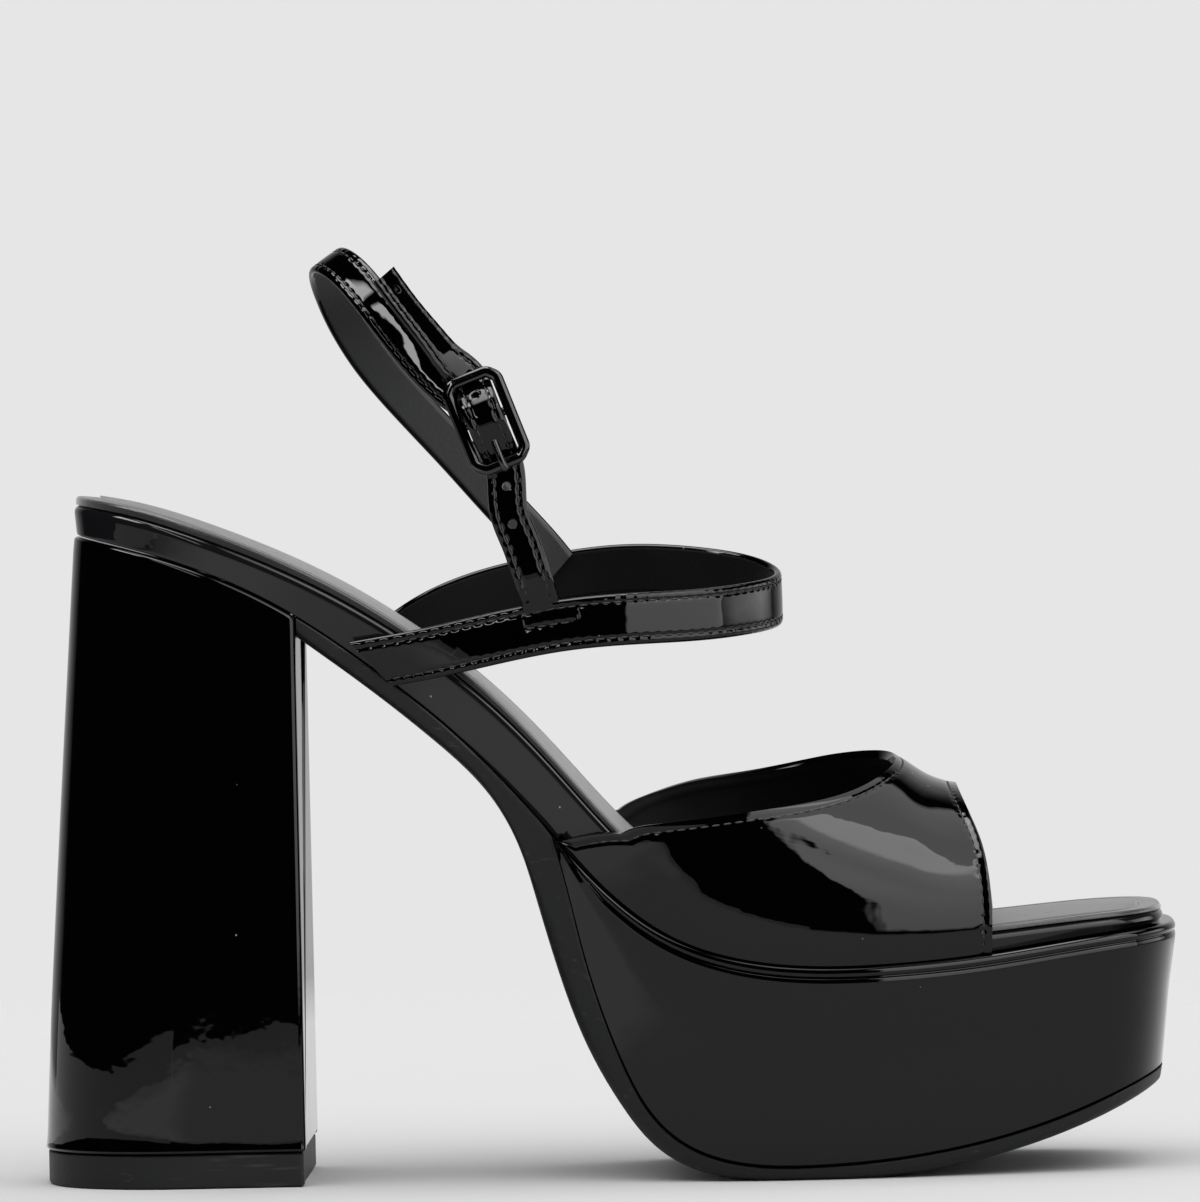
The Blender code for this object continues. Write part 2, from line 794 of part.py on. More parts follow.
def prong_rings():
    route = curve_points([(up, 0.0, out) for up, out in PRONG_ROUTE], PRONG_STEPS)
    middle = np.array([at_buckle(*row) for row in route])
    ahead = np.gradient(middle, axis=0)
    ahead /= np.linalg.norm(ahead, axis=1)[:, None]
    rings = []
    for place, along in zip(middle, ahead):
        rings.append(round_ring(place, buckle_across, np.cross(along, buckle_across), PRONG_RADIUS, FRAME_SIDES))
    return rings


# Build

for old in list(bpy.data.objects):
    bpy.data.objects.remove(old)

patent = material("patent", (0.012, 0.012, 0.014), 0.12)
sole_rubber = material("sole_rubber", (0.02, 0.02, 0.022), 0.55)
lining = material("lining", (0.05, 0.05, 0.052), 0.6)
black_metal = material("black_metal", (0.02, 0.02, 0.022), 0.2, 1.0)

outsole = add_object("outsole", skin(outsole_rings()), sole_rubber)
platform = add_object("platform", skin(platform_rings()), patent)
heel = add_object("heel", skin(heel_rings(), capped_across=True), patent)
top_lift = add_object("top_lift", skin(lift_rings(), capped_across=True), sole_rubber)
insole = add_object("insole", skin(insole_rings()), lining)

vamp = add_object("vamp", vamp_sheet(), patent)
wall = vamp.modifiers.new("wall", "SOLIDIFY")
wall.thickness = VAMP_WALL * MM
wall.offset = -1.0
wall.use_even_offset = True

straps = add_object(
    "straps", skin(strap_rings(INSTEP_ROUTE, INSTEP_ACROSS, INSTEP_WIDTH, INSTEP_THICK)), patent
)
ankle_part = add_cutter(
    "ankle_part", skin(strap_rings(ankle_route(), BUCKLE_ACROSS, ANKLE_WIDTH, ANKLE_THICK))
)
buckle_part = add_cutter(
    "buckle_part",
    skin(
        strap_rings(
            list(BUCKLE_ROUTE) + buckle_rows(BUCKLE_THREAD), BUCKLE_ACROSS, ANKLE_WIDTH, ANKLE_THICK
        )
    ),
)
combine(ankle_part, cutter_box("fold_slot", *FOLD_SLOT), "DIFFERENCE")
combine(buckle_part, cutter_box("strap_slot", *STRAP_SLOT), "DIFFERENCE")
for number, hole in enumerate(LOWER_HOLES, 1):
    combine(buckle_part, punched_hole(f"hole_{number}", hole), "DIFFERENCE")
combine(straps, ankle_part, "UNION")
combine(straps, buckle_part, "UNION")

buckle_frame = add_object("buckle_frame", skin(frame_rings(), closed=True), black_metal)
combine(buckle_frame, add_cutter("centre_bar", skin(bar_rings())), "UNION")
buckle_prong = add_object("buckle_prong", skin(prong_rings()), black_metal)

# Place the shoe with the middle of its box over the origin
pieces = (outsole, platform, heel, top_lift, insole, vamp, straps, buckle_frame, buckle_prong)
corners = np.array([vertex.co for piece in pieces for vertex in piece.data.vertices])
middle = (corners.min(axis=0) + corners.max(axis=0)) / 2
shoe = bpy.data.objects.new("shoe", None)
bpy.context.scene.collection.objects.link(shoe)
shoe.location = (-middle[0], -middle[1], 0.0)
for item in list(bpy.data.objects):
    if item is not shoe:
        item.parent = shoe
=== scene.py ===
"""Looks of the platform heel sandal: patent covers and straps, lining sock, rubber soles, black buckle."""

import math

import bmesh
import bpy
import numpy as np
from mathutils import Matrix, Vector


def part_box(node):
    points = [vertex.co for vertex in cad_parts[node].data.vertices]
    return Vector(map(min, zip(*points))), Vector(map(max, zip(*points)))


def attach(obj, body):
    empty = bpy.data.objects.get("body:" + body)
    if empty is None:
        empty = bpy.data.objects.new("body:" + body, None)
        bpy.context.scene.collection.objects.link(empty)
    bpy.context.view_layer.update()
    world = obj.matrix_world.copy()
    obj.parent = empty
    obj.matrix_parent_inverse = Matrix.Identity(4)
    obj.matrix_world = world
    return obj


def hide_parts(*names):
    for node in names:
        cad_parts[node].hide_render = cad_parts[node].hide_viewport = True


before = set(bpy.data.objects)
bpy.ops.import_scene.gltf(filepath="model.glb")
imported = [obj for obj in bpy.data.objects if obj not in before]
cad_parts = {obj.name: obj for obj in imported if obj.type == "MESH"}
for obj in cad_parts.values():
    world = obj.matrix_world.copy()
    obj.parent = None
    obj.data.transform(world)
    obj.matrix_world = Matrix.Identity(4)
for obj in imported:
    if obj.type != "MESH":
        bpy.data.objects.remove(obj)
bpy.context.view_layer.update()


# Insole
# A stiff board wrapped in patent and glued over the platform and the heel seat. Its wrapped edge shows
# all round as the rand, a glossy band that leans in towards its foot.

MM = 0.001

# Tables are in millimetres from a datum: x to the toe, y to the inner side of the foot, z up from the
# floor. The breast end and the outer side of the top lift tell where that datum lies in the row.
LIFT_BREAST_X = -60.5
LIFT_OUTER_Y = -29.1
lift_low, lift_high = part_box("top_lift")
DATUM = np.array((lift_high.x - LIFT_BREAST_X * MM, lift_low.y - LIFT_OUTER_Y * MM, 0.0))

HALF_GAP = 0.15
FOOTBED_HEEL_X = -104.7
FOOTBED_TOE_X = 111.0
HEEL_ROUND = 30.0
HEEL_POWER = 2.2
TOE_ROUND = 20.0
TOE_POWER = 3.0

# x, outer half width, inner half width
PLAN = (
    (-105.0, 26.4, 25.4),
    (-85.0, 26.8, 25.8),
    (-62.0, 27.5, 25.0),
    (-38.0, 27.5, 22.8),
    (-15.0, 30.2, 23.0),
    (6.0, 35.2, 27.6),
    (25.0, 38.4, 33.2),
    (43.0, 38.8, 36.8),
    (62.0, 36.8, 37.6),
    (84.0, 33.4, 35.6),
    (110.0, 29.5, 32.0),
)
# x, z of the line that the insole lies on
SEAT_LINE = (
    (-106.0, 129.8),
    (-90.0, 125.9),
    (-75.0, 120.6),
    (-60.0, 112.8),
    (-45.0, 102.2),
    (-30.0, 90.0),
    (-16.0, 75.7),
    (-4.0, 62.2),
    (8.0, 51.5),
    (22.0, 45.0),
    (38.0, 42.3),
    (56.0, 42.2),
    (76.0, 43.8),
    (94.0, 46.3),
    (114.0, 48.6),
)
# x, z of the footbed's upper edge
FOOTBED_LINE = (
    (-106.0, 137.6),
    (-92.0, 135.0),
    (-78.0, 130.4),
    (-64.0, 124.6),
    (-50.0, 117.4),
    (-36.0, 108.3),
    (-22.0, 97.0),
    (-9.0, 83.4),
    (2.0, 70.8),
    (14.0, 60.0),
    (28.0, 52.8),
    (44.0, 49.0),
    (60.0, 48.0),
    (76.0, 48.9),
    (93.0, 50.5),
    (112.0, 51.8),
)
# x, thickness of the sock on top: thicker under the heel and the waist, thin at the toe
SOCK_THICK = (
    (-106.0, 1.7),
    (-40.0, 1.7),
    (0.0, 1.5),
    (40.0, 1.1),
    (70.0, 0.9),
    (112.0, 0.9),
)
# x, how far the rand's foot lies in from its brow
RAND_LEAN = (
    (-106.0, 0.35),
    (-85.0, 0.5),
    (-55.0, 0.95),
    (-30.0, 1.35),
    (0.0, 1.2),
    (40.0, 0.6),
    (112.0, 0.5),
)
RAND_FOOT_ROUND = 0.4
RAND_BROW_ROUND = 1.6
# rim lines in the wall between its two rounds, as shares of its height
RAND_WALL_SHARES = (0.12, 0.88)
END_STEPS = 26
MIDDLE_STEPS = 150
ROUND_STEPS = 5
SHARP_EDGE = math.radians(40)
# vertices that lie closer than this become one
MERGE = 0.002


def smooth_line(rows):
    """The columns of a table as smooth functions of its first column."""
    table = np.array(rows, float)
    knots, values = table[:, 0], table[:, 1:]
    gaps = np.diff(knots)
    slopes = np.diff(values, axis=0) / gaps[:, None]
    system = np.eye(len(knots))
    pull = np.zeros_like(values)
    for i in range(1, len(gaps)):
        system[i, i - 1 : i + 2] = gaps[i - 1], 2 * (gaps[i - 1] + gaps[i]), gaps[i]
        pull[i] = 6 * (slopes[i] - slopes[i - 1])
    bends = np.linalg.solve(system, pull)

    def at(places):
        places = np.asarray(places, float)
        i = np.clip(np.searchsorted(knots, places) - 1, 0, len(gaps) - 1)
        a = ((knots[i + 1] - places) / gaps[i])[..., None]
        b = 1 - a
        lift = ((a**3 - a) * bends[i] + (b**3 - b) * bends[i + 1]) * gaps[i][..., None] ** 2 / 6
        return np.moveaxis(a * values[i] + b * values[i + 1] + lift, -1, 0)

    return at


plan_widths = smooth_line(PLAN)
seat_line = smooth_line(SEAT_LINE)
footbed_line = smooth_line(FOOTBED_LINE)
sock_thick = smooth_line(SOCK_THICK)


def end_turn(power):
    """Shares of the way round a rounded end of the plan, and how wide the plan still is there."""
    turn = np.linspace(0.0, math.pi / 2, END_STEPS + 1)
    return np.sin(turn) ** (2 / power), np.abs(np.cos(turn)) ** (2 / power)


def rim_line(x, width_share, z, outset=0.0):
    """A line round the toe, from the rear of the outer side to the rear of the inner side."""
    outer, inner = (plan_widths(x) + outset) * width_share
    outer_side = np.stack((x, -outer, z), axis=1)
    inner_side = np.stack((x, inner, z), axis=1)
    return np.vstack((outer_side, inner_side[-2::-1]))


def inset(line, distance, follow=None):
    """A rim line moved inwards in plan, and up or down with a height line where one is given."""
    if np.allclose(line[0], line[-1], atol=1e-3):
        padded = np.vstack((line[-2], line, line[1]))
    else:
        padded = np.vstack((2 * line[0] - line[1], line, 2 * line[-1] - line[-2]))
    ahead = padded[2:, :2] - padded[:-2, :2]
    ahead /= np.linalg.norm(ahead, axis=1)[:, None]
    moved = line.copy()
    moved[:, :2] += np.reshape(distance, (-1, 1)) * np.stack((-ahead[:, 1], ahead[:, 0]), axis=1)
    if follow is not None:
        moved[:, 2] += (follow(moved[:, 0]) - follow(line[:, 0]))[0]
    return moved


def raised(line, height):
    """A rim line moved up, or down where the height is negative."""
    moved = line.copy()
    moved[:, 2] += height
    return moved


def rounding(radius):
    """A quarter round, as steps in from the side and down from the top."""
    turn = np.linspace(0.0, math.pi / 2, ROUND_STEPS + 1)
    return [(radius * (1 - math.cos(a)), radius * (1 - math.sin(a))) for a in turn]


def rounded_foot(line, radius, lean=0.0, follow=None):
    """Rim lines round the lower edge of a wall that stands on a line, set in there by its lean."""
    return [raised(inset(line, lean + side, follow), down) for side, down in rounding(radius)[::-1]]


def rounded_brow(line, radius, follow):
    """Rim lines round the upper edge of a wall that reaches up to a line."""
    return [inset(raised(line, -down), side, follow) for side, down in rounding(radius)]


def laid_grid(points, closed=True, lined_rows=()):
    """A grid of faces with its vertices laid on rows of points, closed where rows or ends meet."""
    rows, columns = points.shape[:2]
    placed = points * MM + DATUM
    made = bmesh.new()
    bmesh.ops.create_grid(made, x_segments=columns - 1, y_segments=rows - 1, size=1.0)
    for face in made.faces:
        row = (face.calc_center_median().y + 1) / 2 * (rows - 1)
        face.material_index = int(any(start < row < end for start, end in lined_rows))
    for vert in made.verts:
        row = round((vert.co.y + 1) / 2 * (rows - 1))
        column = round((vert.co.x + 1) / 2 * (columns - 1))
        vert.co = placed[row, column]
    if closed:
        bmesh.ops.remove_doubles(made, verts=made.verts, dist=MERGE * MM)
        bmesh.ops.dissolve_degenerate(made, edges=made.edges, dist=MERGE * MM)
        bmesh.ops.holes_fill(made, edges=[edge for edge in made.edges if edge.is_boundary], sides=0)
        bmesh.ops.recalc_face_normals(made, faces=made.faces)
    return made


def banded_body(levels, over=10, under=3, crown=0.0):
    """A closed body whose side runs up through rim lines, with rows across its crowned top and its foot."""
    rims = np.array(levels)
    half = rims.shape[1] // 2 + 1
    outer, inner = rims[:, :half], rims[:, ::-1][:, :half]
    top_share = np.linspace(0.0, 1.0, over + 2)[1:-1, None, None]
    top = outer[-1] * (1 - top_share) + inner[-1] * top_share
    top[..., 2] += crown * (1 - (2 * top_share[..., 0] - 1) ** 2)
    foot_share = np.linspace(0.0, 1.0, under + 2)[1:-1, None, None]
    foot = inner[0] * (1 - foot_share) + outer[0] * foot_share
    return laid_grid(np.concatenate((outer, top, inner[::-1], foot, outer[:1])))


def add_object(name, data):
    """An object in the scene that shows a mesh, a light or a camera."""
    made = bpy.data.objects.new(name, data)
    bpy.context.scene.collection.objects.link(made)
    return made


def add_piece(name, made, finishes, stands_for=()):
    """A mesh as a smooth piece that rides on the shoe and stands for a node of the frame."""
    mesh = bpy.data.meshes.new(name)
    made.to_mesh(mesh)
    made.free()
    mesh.shade_smooth()
    mesh.set_sharp_from_angle(angle=SHARP_EDGE)
    for finish in finishes:
        mesh.materials.append(finish)
    piece = add_object(name, mesh)
    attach(piece, "root")
    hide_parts(*stands_for)
    return piece


def linear(screen_hex):
    """A screen colour in hex as linear light."""
    shares = [int(screen_hex[i : i + 2], 16) / 255 for i in (0, 2, 4)]
    return (*(s / 12.92 if s <= 0.04045 else ((s + 0.055) / 1.055) ** 2.4 for s in shares), 1.0)


def fill_sockets(tree, node, sockets):
    """Give sockets of a node a value or a link."""
    for name, value in sockets.items():
        if isinstance(value, bpy.types.NodeSocket):
            tree.links.new(value, node.inputs[name])
        else:
            node.inputs[name].default_value = value


def add_node(tree, kind, sockets, **settings):
    """A shader node with its settings, and its sockets filled."""
    node = tree.nodes.new(kind)
    for name, value in settings.items():
        setattr(node, name, value)
    fill_sockets(tree, node, sockets)
    return node


def start_finish(name, sockets):
    """A material whose shader has these constant sockets, with the piece's own coordinates."""
    finish = bpy.data.materials.new(name)
    finish.use_nodes = True
    tree = finish.node_tree
    shader = tree.nodes["Principled BSDF"]
    fill_sockets(tree, shader, sockets)
    place = add_node(tree, "ShaderNodeTexCoord", {}).outputs["Object"]
    return finish, tree, shader, place


PATENT_PEEL = 1.6
PATENT_PEEL_HEIGHT = 0.004
PATENT_SMOOTH = 0.3
PATENT_ROUGH = 0.5
DUST = "b4b5b7"
DUST_SPACING = 8.0
DUST_SIZE = 0.24
# share of a speck's size within which it is at its palest
DUST_CORE = 0.3


def patent_finish(name, black, wave, wave_height):
    """Patent leather: hide under a thick clear film whose waves bend the images that it mirrors."""
    finish, tree, shader, place = start_finish(
        name, {"Specular IOR Level": 0.0, "Coat Weight": 1.0, "Coat Roughness": 0.02, "Coat IOR": 1.38}
    )
    waves = add_node(tree, "ShaderNodeTexNoise", {"Vector": place, "Scale": 1 / (wave * MM), "Detail": 1.5})
    peel = add_node(
        tree, "ShaderNodeTexNoise", {"Vector": place, "Scale": 1 / (PATENT_PEEL * MM), "Detail": 0.0}
    )
    film = {}
    for relief, height in ((waves, wave_height), (peel, PATENT_PEEL_HEIGHT)):
        sockets = {"Height": relief.outputs["Fac"], "Strength": 1.0, "Distance": height * MM, **film}
        film = {"Normal": add_node(tree, "ShaderNodeBump", sockets).outputs["Normal"]}
    dust = add_node(tree, "ShaderNodeTexVoronoi", {"Vector": place, "Scale": 1 / (DUST_SPACING * MM)})
    speck = add_node(
        tree,
        "ShaderNodeMapRange",
        {
            "Value": dust.outputs["Distance"],
            "From Min": DUST_SIZE / DUST_SPACING,
            "From Max": DUST_CORE * DUST_SIZE / DUST_SPACING,
        },
    )
    blacks = add_node(
        tree,
        "ShaderNodeMix",
        {"Factor": speck.outputs["Result"], "A": linear(black), "B": linear(DUST)},
        data_type="RGBA",
    )
    smudges = add_node(
        tree,
        "ShaderNodeMapRange",
        {"Value": waves.outputs["Fac"], "To Min": PATENT_SMOOTH, "To Max": PATENT_ROUGH},
    )
    fill_sockets(
        tree,
        shader,
        {
            "Base Color": blacks.outputs["Result"],
            "Roughness": smudges.outputs["Result"],
            "Normal": film["Normal"],
            "Coat Normal": film["Normal"],
        },
    )
    return finish


# Rand patent: its base is a dark grey in place of black, a painted reflection that stands in for the floor's
# light mirrored in the band. Slow, shallow waves.
rand_patent = patent_finish("rand_patent", "18181a", 16.0, 0.06)

heel_share, heel_width = end_turn(HEEL_POWER)
toe_share, toe_width = end_turn(TOE_POWER)
heel_end_x = FOOTBED_HEEL_X + HEEL_ROUND
toe_end_x = FOOTBED_TOE_X - TOE_ROUND
footbed_x = np.concatenate(
    (
        heel_end_x - HEEL_ROUND * heel_share[::-1],
        np.linspace(heel_end_x, toe_end_x, MIDDLE_STEPS + 1)[1:-1],
        toe_end_x + TOE_ROUND * toe_share,
    )
)
footbed_width = np.concatenate((heel_width[::-1], np.ones(MIDDLE_STEPS - 1), toe_width))
rand_foot = rim_line(footbed_x, footbed_width, seat_line(footbed_x)[0] + HALF_GAP)
rand_top_z = footbed_line(footbed_x)[0] - sock_thick(footbed_x)[0]
rand_brow = rim_line(footbed_x, footbed_width, rand_top_z)
rand_lean = smooth_line(RAND_LEAN)(rand_foot[:, 0])[0]
rand_levels = rounded_foot(rand_foot, RAND_FOOT_ROUND, rand_lean, seat_line)
brow_levels = rounded_brow(rand_brow, RAND_BROW_ROUND, footbed_line)
wall_foot, wall_brow = rand_levels[-1], brow_levels[0]
rand_levels += [wall_foot + (wall_brow - wall_foot) * share for share in RAND_WALL_SHARES]
rand_levels += brow_levels
add_piece("insole_rand", banded_body(rand_levels), (rand_patent,), ("insole",))


# Sock
# A smooth charcoal lining cut to the shape of the footbed and glued down on the insole, rounded over at
# its edge, with a line pressed round it a few millimetres in.

SOCK_INSET = 0.35
SOCK_GLUE = 0.03
SOCK_BROW_ROUND = 0.8
SOCK_CROWN = 0.7
SOCK_OVER = 16
# in from the sock's edge, depth of the pressed line there
PRESSED_LINE = (
    (3.4, 0.0),
    (3.8, 0.22),
    (4.1, 0.3),
    (4.4, 0.22),
    (4.8, 0.0),
)

# the hide's pebble is finer than this, and drawn coarse so that it shows
LINING_GRAIN = 0.9
LINING_PEBBLE = 0.04
LINING_MOTTLE = 22.0


def lining_finish(name, dark, light, smooth, rough, shine, sheen):
    """Lining leather: fine-grained hide with a soft sheen, no mirror images and a pebble you can just see."""
    finish, tree, shader, place = start_finish(
        name, {"Specular IOR Level": shine, "Sheen Weight": sheen, "Sheen Roughness": 0.4}
    )
    grain = add_node(tree, "ShaderNodeTexVoronoi", {"Vector": place, "Scale": 1 / (LINING_GRAIN * MM)})
    pebble = add_node(
        tree,
        "ShaderNodeBump",
        {"Height": grain.outputs["Distance"], "Strength": 0.5, "Distance": LINING_PEBBLE * MM},
    )
    tone = add_node(
        tree, "ShaderNodeTexNoise", {"Vector": place, "Scale": 1 / (LINING_MOTTLE * MM), "Detail": 4.0}
    )
    mottle = add_node(
        tree,
        "ShaderNodeMix",
        {"Factor": tone.outputs["Fac"], "A": linear(dark), "B": linear(light)},
        data_type="RGBA",
    )
    gloss = add_node(
        tree, "ShaderNodeMapRange", {"Value": tone.outputs["Fac"], "To Min": smooth, "To Max": rough}
    )
    fill_sockets(
        tree,
        shader,
        {
            "Base Color": mottle.outputs["Result"],
            "Roughness": gloss.outputs["Result"],
            "Normal": pebble.outputs["Normal"],
        },
    )
    return finish


# Sock lining: charcoal, polished by the press. It turns silvery where it is seen along its surface.
sock_lining = lining_finish("charcoal_sock_lining", "262628", "313133", 0.22, 0.34, 0.5, 0.9)

sock_foot = inset(raised(rand_brow, SOCK_GLUE), SOCK_INSET, footbed_line)
sock_top = inset(rim_line(footbed_x, footbed_width, footbed_line(footbed_x)[0]), SOCK_INSET, footbed_line)
sock_levels = [inset(sock_foot, SOCK_INSET, footbed_line), sock_foot]
sock_levels += rounded_brow(sock_top, SOCK_BROW_ROUND, footbed_line)
sock_levels += [inset(raised(sock_top, -depth), into, footbed_line) for into, depth in PRESSED_LINE]
sock = banded_body(sock_levels, over=SOCK_OVER, crown=SOCK_CROWN)
add_piece("sock", sock, (sock_lining,), ("insole",))


# Vamp
# One wide band of patent with a lining, cut open at throat and toe. Both edges are folded in and sewn
# down, and its two feet are lasted in between insole and platform.

VAMP_WALL = 1.8
VAMP_OUTSET = 2.1
VAMP_BAND = 0.08
VAMP_TUCK = 0.7
VAMP_ROUND = 2.4
VAMP_RISE = 2.2
VAMP_RIDGE_Y = 3.0
VAMP_OVER = 190
VAMP_ALONG = 60
VAMP_EDGE_ROUND = 0.7
# how far the rear ends lean out for each millimetre of height, up to which height, and the x where that
# starts and is full
VAMP_LEAN = 0.08
VAMP_LEAN_HEIGHT = 24.0
VAMP_LEAN_X = (25.0, 4.0)
# soft folds from wear: x, share of the girth, half length, half width as a share of the girth, height
VAMP_FOLDS = (
    (47.0, 0.186, 15.0, 0.016, 0.16),
    (52.0, 0.158, 14.0, 0.013, -0.13),
    (50.0, 0.132, 10.0, 0.010, 0.10),
    (61.0, 0.205, 11.0, 0.018, -0.15),
    (66.0, 0.255, 8.0, 0.022, 0.16),
    (60.0, 0.700, 12.0, 0.020, 0.14),
    (52.0, 0.800, 14.0, 0.018, -0.14),
)
FOLD_SLANT = -0.0013
SEAM_IN = 1.7
# share of the girth down to the base that the sewn edge may take up
SEAM_ROOM = 0.6
# share of the girth at which the stitches end, close to the base
VAMP_SEAM_END = 0.032
SEAM_DEPTH = 0.28
SEAM_HALF = 0.55
STITCH_PITCH = 2.3
# share of a seam's depth that comes and goes with the stitches
NEEDLE_PULL = 0.35
# distances in from a sewn edge at which rows of vertices lie
NEAR_EDGE = np.array((0.0, 0.35, 0.75, 1.15, 1.45, 1.7, 1.95, 2.3, 2.8))
# how many places along an edge are averaged, so that the ways in from it don't cross
EDGE_SPAN = 9
# share of the girth from outer base to inner base, x of the throat edge
THROAT = (
    (0.0, -8.6),
    (0.044, -2.2),
    (0.073, 2.5),
    (0.089, 5.6),
    (0.115, 11.5),
    (0.198, 31.2),
    (0.262, 45.0),
    (0.351, 55.0),
    (0.455, 58.4),
    (0.55, 56.4),
    (0.64, 48.9),
    (0.72, 38.3),
    (0.779, 28.1),
    (0.831, 17.9),
    (0.888, 7.7),
    (0.92, 2.0),
    (1.0, -9.5),
)
# share of the girth, x of the toe edge
TOE_EDGE = (
    (0.0, 76.2),
    (0.137, 76.3),
    (0.248, 74.8),
    (0.325, 72.8),
    (0.45, 70.6),
    (0.55, 70.6),
    (0.7, 73.2),
    (0.82, 76.4),
    (1.0, 78.5),
)
# x, height of the ridge over the footbed
RIDGE = (
    (-11.0, 70.5),
    (10.0, 58.0),
    (31.0, 46.0),
    (45.0, 39.8),
    (54.0, 36.0),
    (60.0, 33.0),
    (64.0, 30.2),
    (70.5, 27.6),
    (79.0, 26.4),
)
throat_line = smooth_line(THROAT)
toe_line = smooth_line(TOE_EDGE)
ridge_line = smooth_line(RIDGE)


def vamp_surface(x, girth):
    """Points on the outside of the vamp: up its lasted band, then over the section of the last."""
    outer, inner = plan_widths(x)
    edge_y = np.where(girth < 0.5, -outer - VAMP_OUTSET, inner + VAMP_OUTSET)
    base_z = seat_line(x)[0] + HALF_GAP
    edge_z = footbed_line(x)[0]
    from_base = np.minimum(girth, 1 - girth)
    up_band = np.clip(from_base / VAMP_BAND, 0.0, 1.0)
    angle = np.clip(math.pi * (from_base - VAMP_BAND) / (1 - 2 * VAMP_BAND), 0.0, math.pi / 2)
    reach = np.abs(np.cos(angle)) ** (2 / VAMP_ROUND)
    tucked = edge_y - np.sign(edge_y) * VAMP_TUCK * (1 - up_band) ** 1.5
    z = base_z + (edge_z - base_z) * up_band + ridge_line(x)[0] * np.sin(angle) ** (2 / VAMP_RISE)
    leaning = np.clip((VAMP_LEAN_X[0] - x) / (VAMP_LEAN_X[0] - VAMP_LEAN_X[1]), 0.0, 1.0)
    leaning = VAMP_LEAN * leaning**2 * (3 - 2 * leaning) * np.clip(z - base_z, 0.0, VAMP_LEAN_HEIGHT)
    y = VAMP_RIDGE_Y + (tucked + np.sign(edge_y) * leaning - VAMP_RIDGE_Y) * reach
    return np.stack((x, y, z), axis=-1)


def run_lengths(points):
    """Length along a line of points at each of them."""
    return np.concatenate(([0.0], np.cumsum(np.linalg.norm(np.diff(points, axis=0), axis=1))))


def places_at(run, line, where):
    """Points of a line at given lengths along it."""
    return np.stack([np.interp(where, run, column) for column in line.T], axis=-1)


def unit(vectors):
    """Vectors scaled to length one."""
    return vectors / np.linalg.norm(vectors, axis=-1, keepdims=True)


def ways_in(edge_x, towards):
    """Rows of places at set distances square in from an edge of the vamp, in x and in girth."""
    reach, turn = 0.5, 0.002
    by_x = (vamp_surface(edge_x + reach, girths) - vamp_surface(edge_x - reach, girths)) / (2 * reach)
    by_girth = (vamp_surface(edge_x, girths + turn) - vamp_surface(edge_x, girths - turn)) / (2 * turn)
    along = by_x * np.gradient(edge_x, girths)[:, None] + by_girth
    square = unit(np.cross(np.cross(by_x, by_girth), along))
    xx, xg, gg = (by_x**2).sum(1), (by_x * by_girth).sum(1), (by_girth**2).sum(1)
    rx, rg = (square * by_x).sum(1), (square * by_girth).sum(1)
    steps = np.stack((rx * gg - rg * xg, rg * xx - rx * xg)) / (xx * gg - xg**2)
    steps *= towards * np.sign(steps[0, len(girths) // 2])
    span = np.ones(EDGE_SPAN) / EDGE_SPAN
    step_x, step_girth = (np.convolve(np.pad(step, EDGE_SPAN // 2, "edge"), span, "valid") for step in steps)
    room = SEAM_ROOM * np.minimum(girths, 1 - girths) / (NEAR_EDGE[-1] * np.abs(step_girth) + 1e-9)
    step_girth *= np.minimum(room, 1.0)
    into_x = edge_x[:, None] + NEAR_EDGE * step_x[:, None]
    return np.stack((into_x, girths[:, None] + NEAR_EDGE * step_girth[:, None]))


girths = np.linspace(0.0, 1.0, VAMP_OVER + 1)
throat_x, toe_x = throat_line(girths)[0], toe_line(girths)[0]
throat_edge = vamp_surface(throat_x, girths)
toe_edge = vamp_surface(toe_x, girths)
into_throat = ways_in(throat_x, 1)
into_toe = ways_in(toe_x, -1)[..., ::-1]
between = np.linspace(0.0, 1.0, VAMP_ALONG + 2)[1:-1]
middle = into_throat[..., -1:] + (into_toe[..., :1] - into_throat[..., -1:]) * between
vamp_x, vamp_girth = np.concatenate((into_throat, middle, into_toe), axis=2)
vamp_points = vamp_surface(vamp_x, vamp_girth)
vamp_out = unit(np.cross(np.gradient(vamp_points, axis=1), np.gradient(vamp_points, axis=0)))


def needle_pull(run, share=NEEDLE_PULL):
    """How far a seam is drawn in along its run, most where the needle went through."""
    return 1 - share + share * np.cos(2 * math.pi * run / STITCH_PITCH)


def seam_dip(distance, run):
    """Depth of the dip along a row of stitches."""
    return SEAM_DEPTH * np.exp(-(((distance - SEAM_IN) / SEAM_HALF) ** 2)) * needle_pull(run)


dips = np.zeros(vamp_x.shape)
dips[:, : len(NEAR_EDGE)] = seam_dip(NEAR_EDGE, run_lengths(throat_edge)[:, None])
dips[:, -len(NEAR_EDGE) :] = seam_dip(NEAR_EDGE[::-1], run_lengths(toe_edge)[:, None])
for fold_x, fold_girth, length, width, height in VAMP_FOLDS:
    along = vamp_x - fold_x
    off = vamp_girth - fold_girth - FOLD_SLANT * along * np.sign(0.5 - fold_girth)
    dips -= height * np.exp(-((along / length) ** 2) - (off / width) ** 2)
vamp_skin = laid_grid(vamp_points - vamp_out * dips[..., None], closed=False)

# Upper patent: the soft film on vamp and straps, which carries short waves from being pulled over the last.
upper_patent = patent_finish("upper_patent", "020202", 9.0, 0.12)
